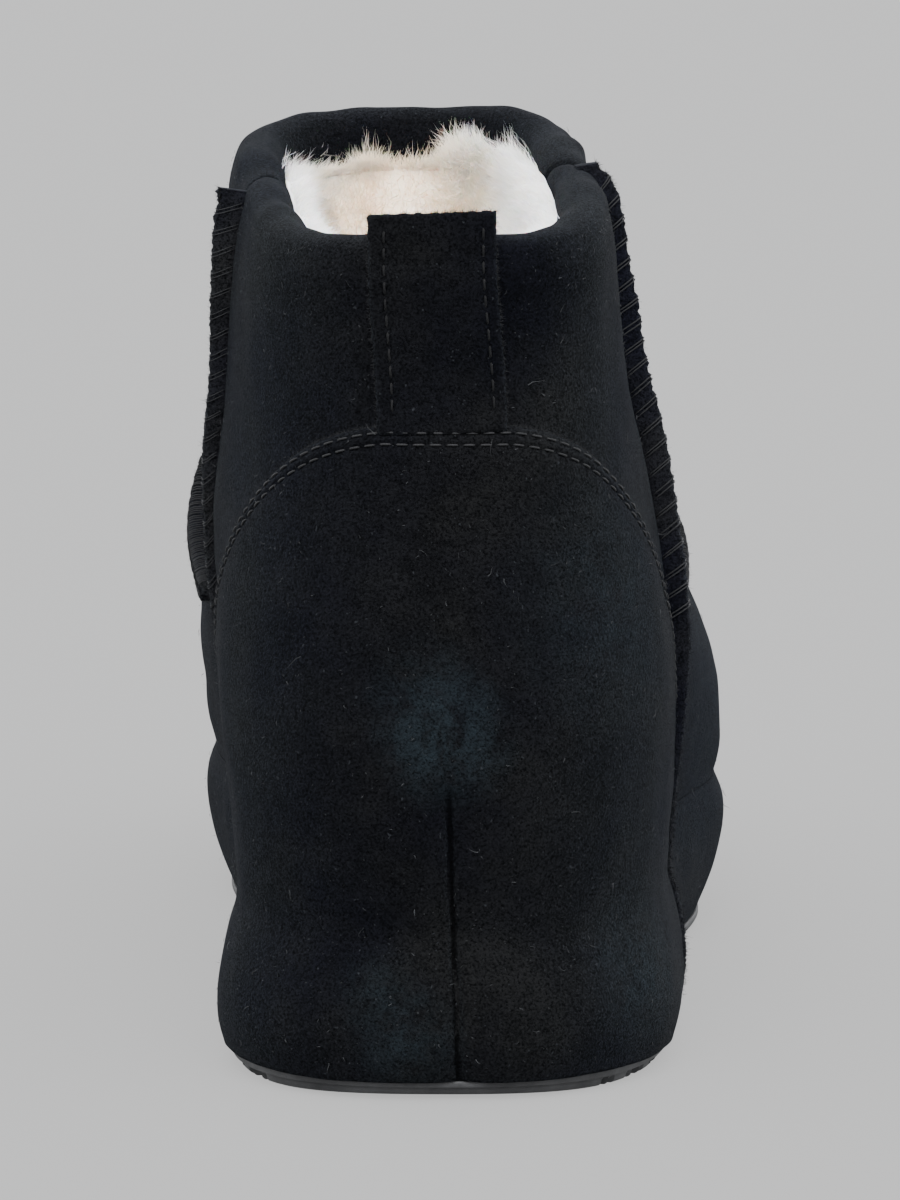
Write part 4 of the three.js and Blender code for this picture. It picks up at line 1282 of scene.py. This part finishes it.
fuzz_lines = []
for base, normal, across, height in seams.values():
    for side in (-1, 1):
        top = base + normal * (height * SEAM_HEIGHT * 0.9)[:, None]
        fuzz_lines.append((top + across * side * SEAM_WIDTH * 0.3, normal + across * side))
edge_fuzz("seam_fuzz", fuzz_lines, 14, 0.9, HAIR_DARK)
straight_edges = [
    (tab_grid[:, 0], (-1, 0, 0)),
    (tab_grid[:, -1], (1, 0, 0)),
    (tab_grid[-1], (0, 0, 1)),
    (cover_grid[0], (0, 0, 1)),
]
raw_edges = [(line, np.tile(np.array(way, float), (len(line), 1))) for line, way in straight_edges]
raw_edges += [(cover_grid[:, side], cover_normal[:, side]) for side in (0, -1)]
edge_fuzz("edge_fuzz", raw_edges, 12, 0.7, HAIR_EDGE)
lint("lint", 5200)


# Floor, light and camera

FLOOR_REACH = 14  # metres


def make_floor():
    look = Shading("floor")
    material = look.surface({
        "Base Color": look.mix(look.noise(3, 2, 0.5), (0.058, 0.058, 0.058), (0.060, 0.060, 0.060)),
        "Roughness": 0.9,
        "Specular IOR Level": 0.0,
        "Emission Color": (1, 1, 1),
        "Emission Strength": 0.56,
    })
    mesh = bpy.data.meshes.new("floor")
    corners = [(x * FLOOR_REACH, y * FLOOR_REACH, 0) for x, y in ((-1, -1), (1, -1), (1, 1), (-1, 1))]
    mesh.from_pydata(corners, [], [(0, 1, 2, 3)])
    mesh.materials.append(material)
    floor = bpy.data.objects.new("floor", mesh)
    bpy.context.scene.collection.objects.link(floor)


def make_world():
    world = bpy.data.worlds.new("studio")
    bpy.context.scene.world = world
    world.use_nodes = True
    background = world.node_tree.nodes["Background"]
    background.inputs["Color"].default_value = (0.97, 0.98, 1, 1)
    background.inputs["Strength"].default_value = 3.3


def sun(name, towards, power, spread):
    """A broad soft light from far off, so that the floor is lit evenly"""
    light = bpy.data.lights.new(name, "SUN")
    light.energy = power
    light.angle = math.radians(spread)
    obj = bpy.data.objects.new(name, light)
    bpy.context.scene.collection.objects.link(obj)
    obj.rotation_euler = Vector(towards).to_track_quat("-Z", "Y").to_euler()


make_floor()
make_world()
sun("overhead", (0.05, 0.75, -1), 4.6, 50)
sun("from_left", (1, 0.5, -0.8), 0.8, 50)
sun("from_right", (-1, 0.5, -0.8), 1.4, 50)


# The camera stands where the photo's did, zoomed in on the one boot
FOCAL_LENGTH_PIXELS = 6500
PICTURE_HEIGHT_PIXELS = 1200
SENSOR_HEIGHT = 24
VIEW_AZIMUTH = -0.5
VIEW_ELEVATION = 13.0
VIEW_DISTANCE = 1170
HEEL_FACE = (0, 2.4, 0)
AIM = (-0.0015, 0.0, 0.071)  # metres


def make_camera():
    data = bpy.data.cameras.new("camera")
    camera = bpy.data.objects.new("camera", data)
    bpy.context.scene.collection.objects.link(camera)
    bpy.context.scene.camera = camera
    data.sensor_fit = "VERTICAL"
    data.sensor_height = SENSOR_HEIGHT
    data.lens = SENSOR_HEIGHT * FOCAL_LENGTH_PIXELS / PICTURE_HEIGHT_PIXELS
    data.clip_start = 0.01
    data.clip_end = 60
    azimuth, elevation = math.radians(VIEW_AZIMUTH), math.radians(VIEW_ELEVATION)
    level_way = np.array([math.sin(azimuth), math.cos(azimuth), 0]) * math.cos(elevation)
    look = level_way - np.array([0, 0, math.sin(elevation)])
    camera.location = Vector((np.array(HEEL_FACE) + SHIFT - look * VIEW_DISTANCE) * MM)
    camera.rotation_euler = (Vector(AIM) - camera.location).to_track_quat("-Z", "Y").to_euler()


make_camera()
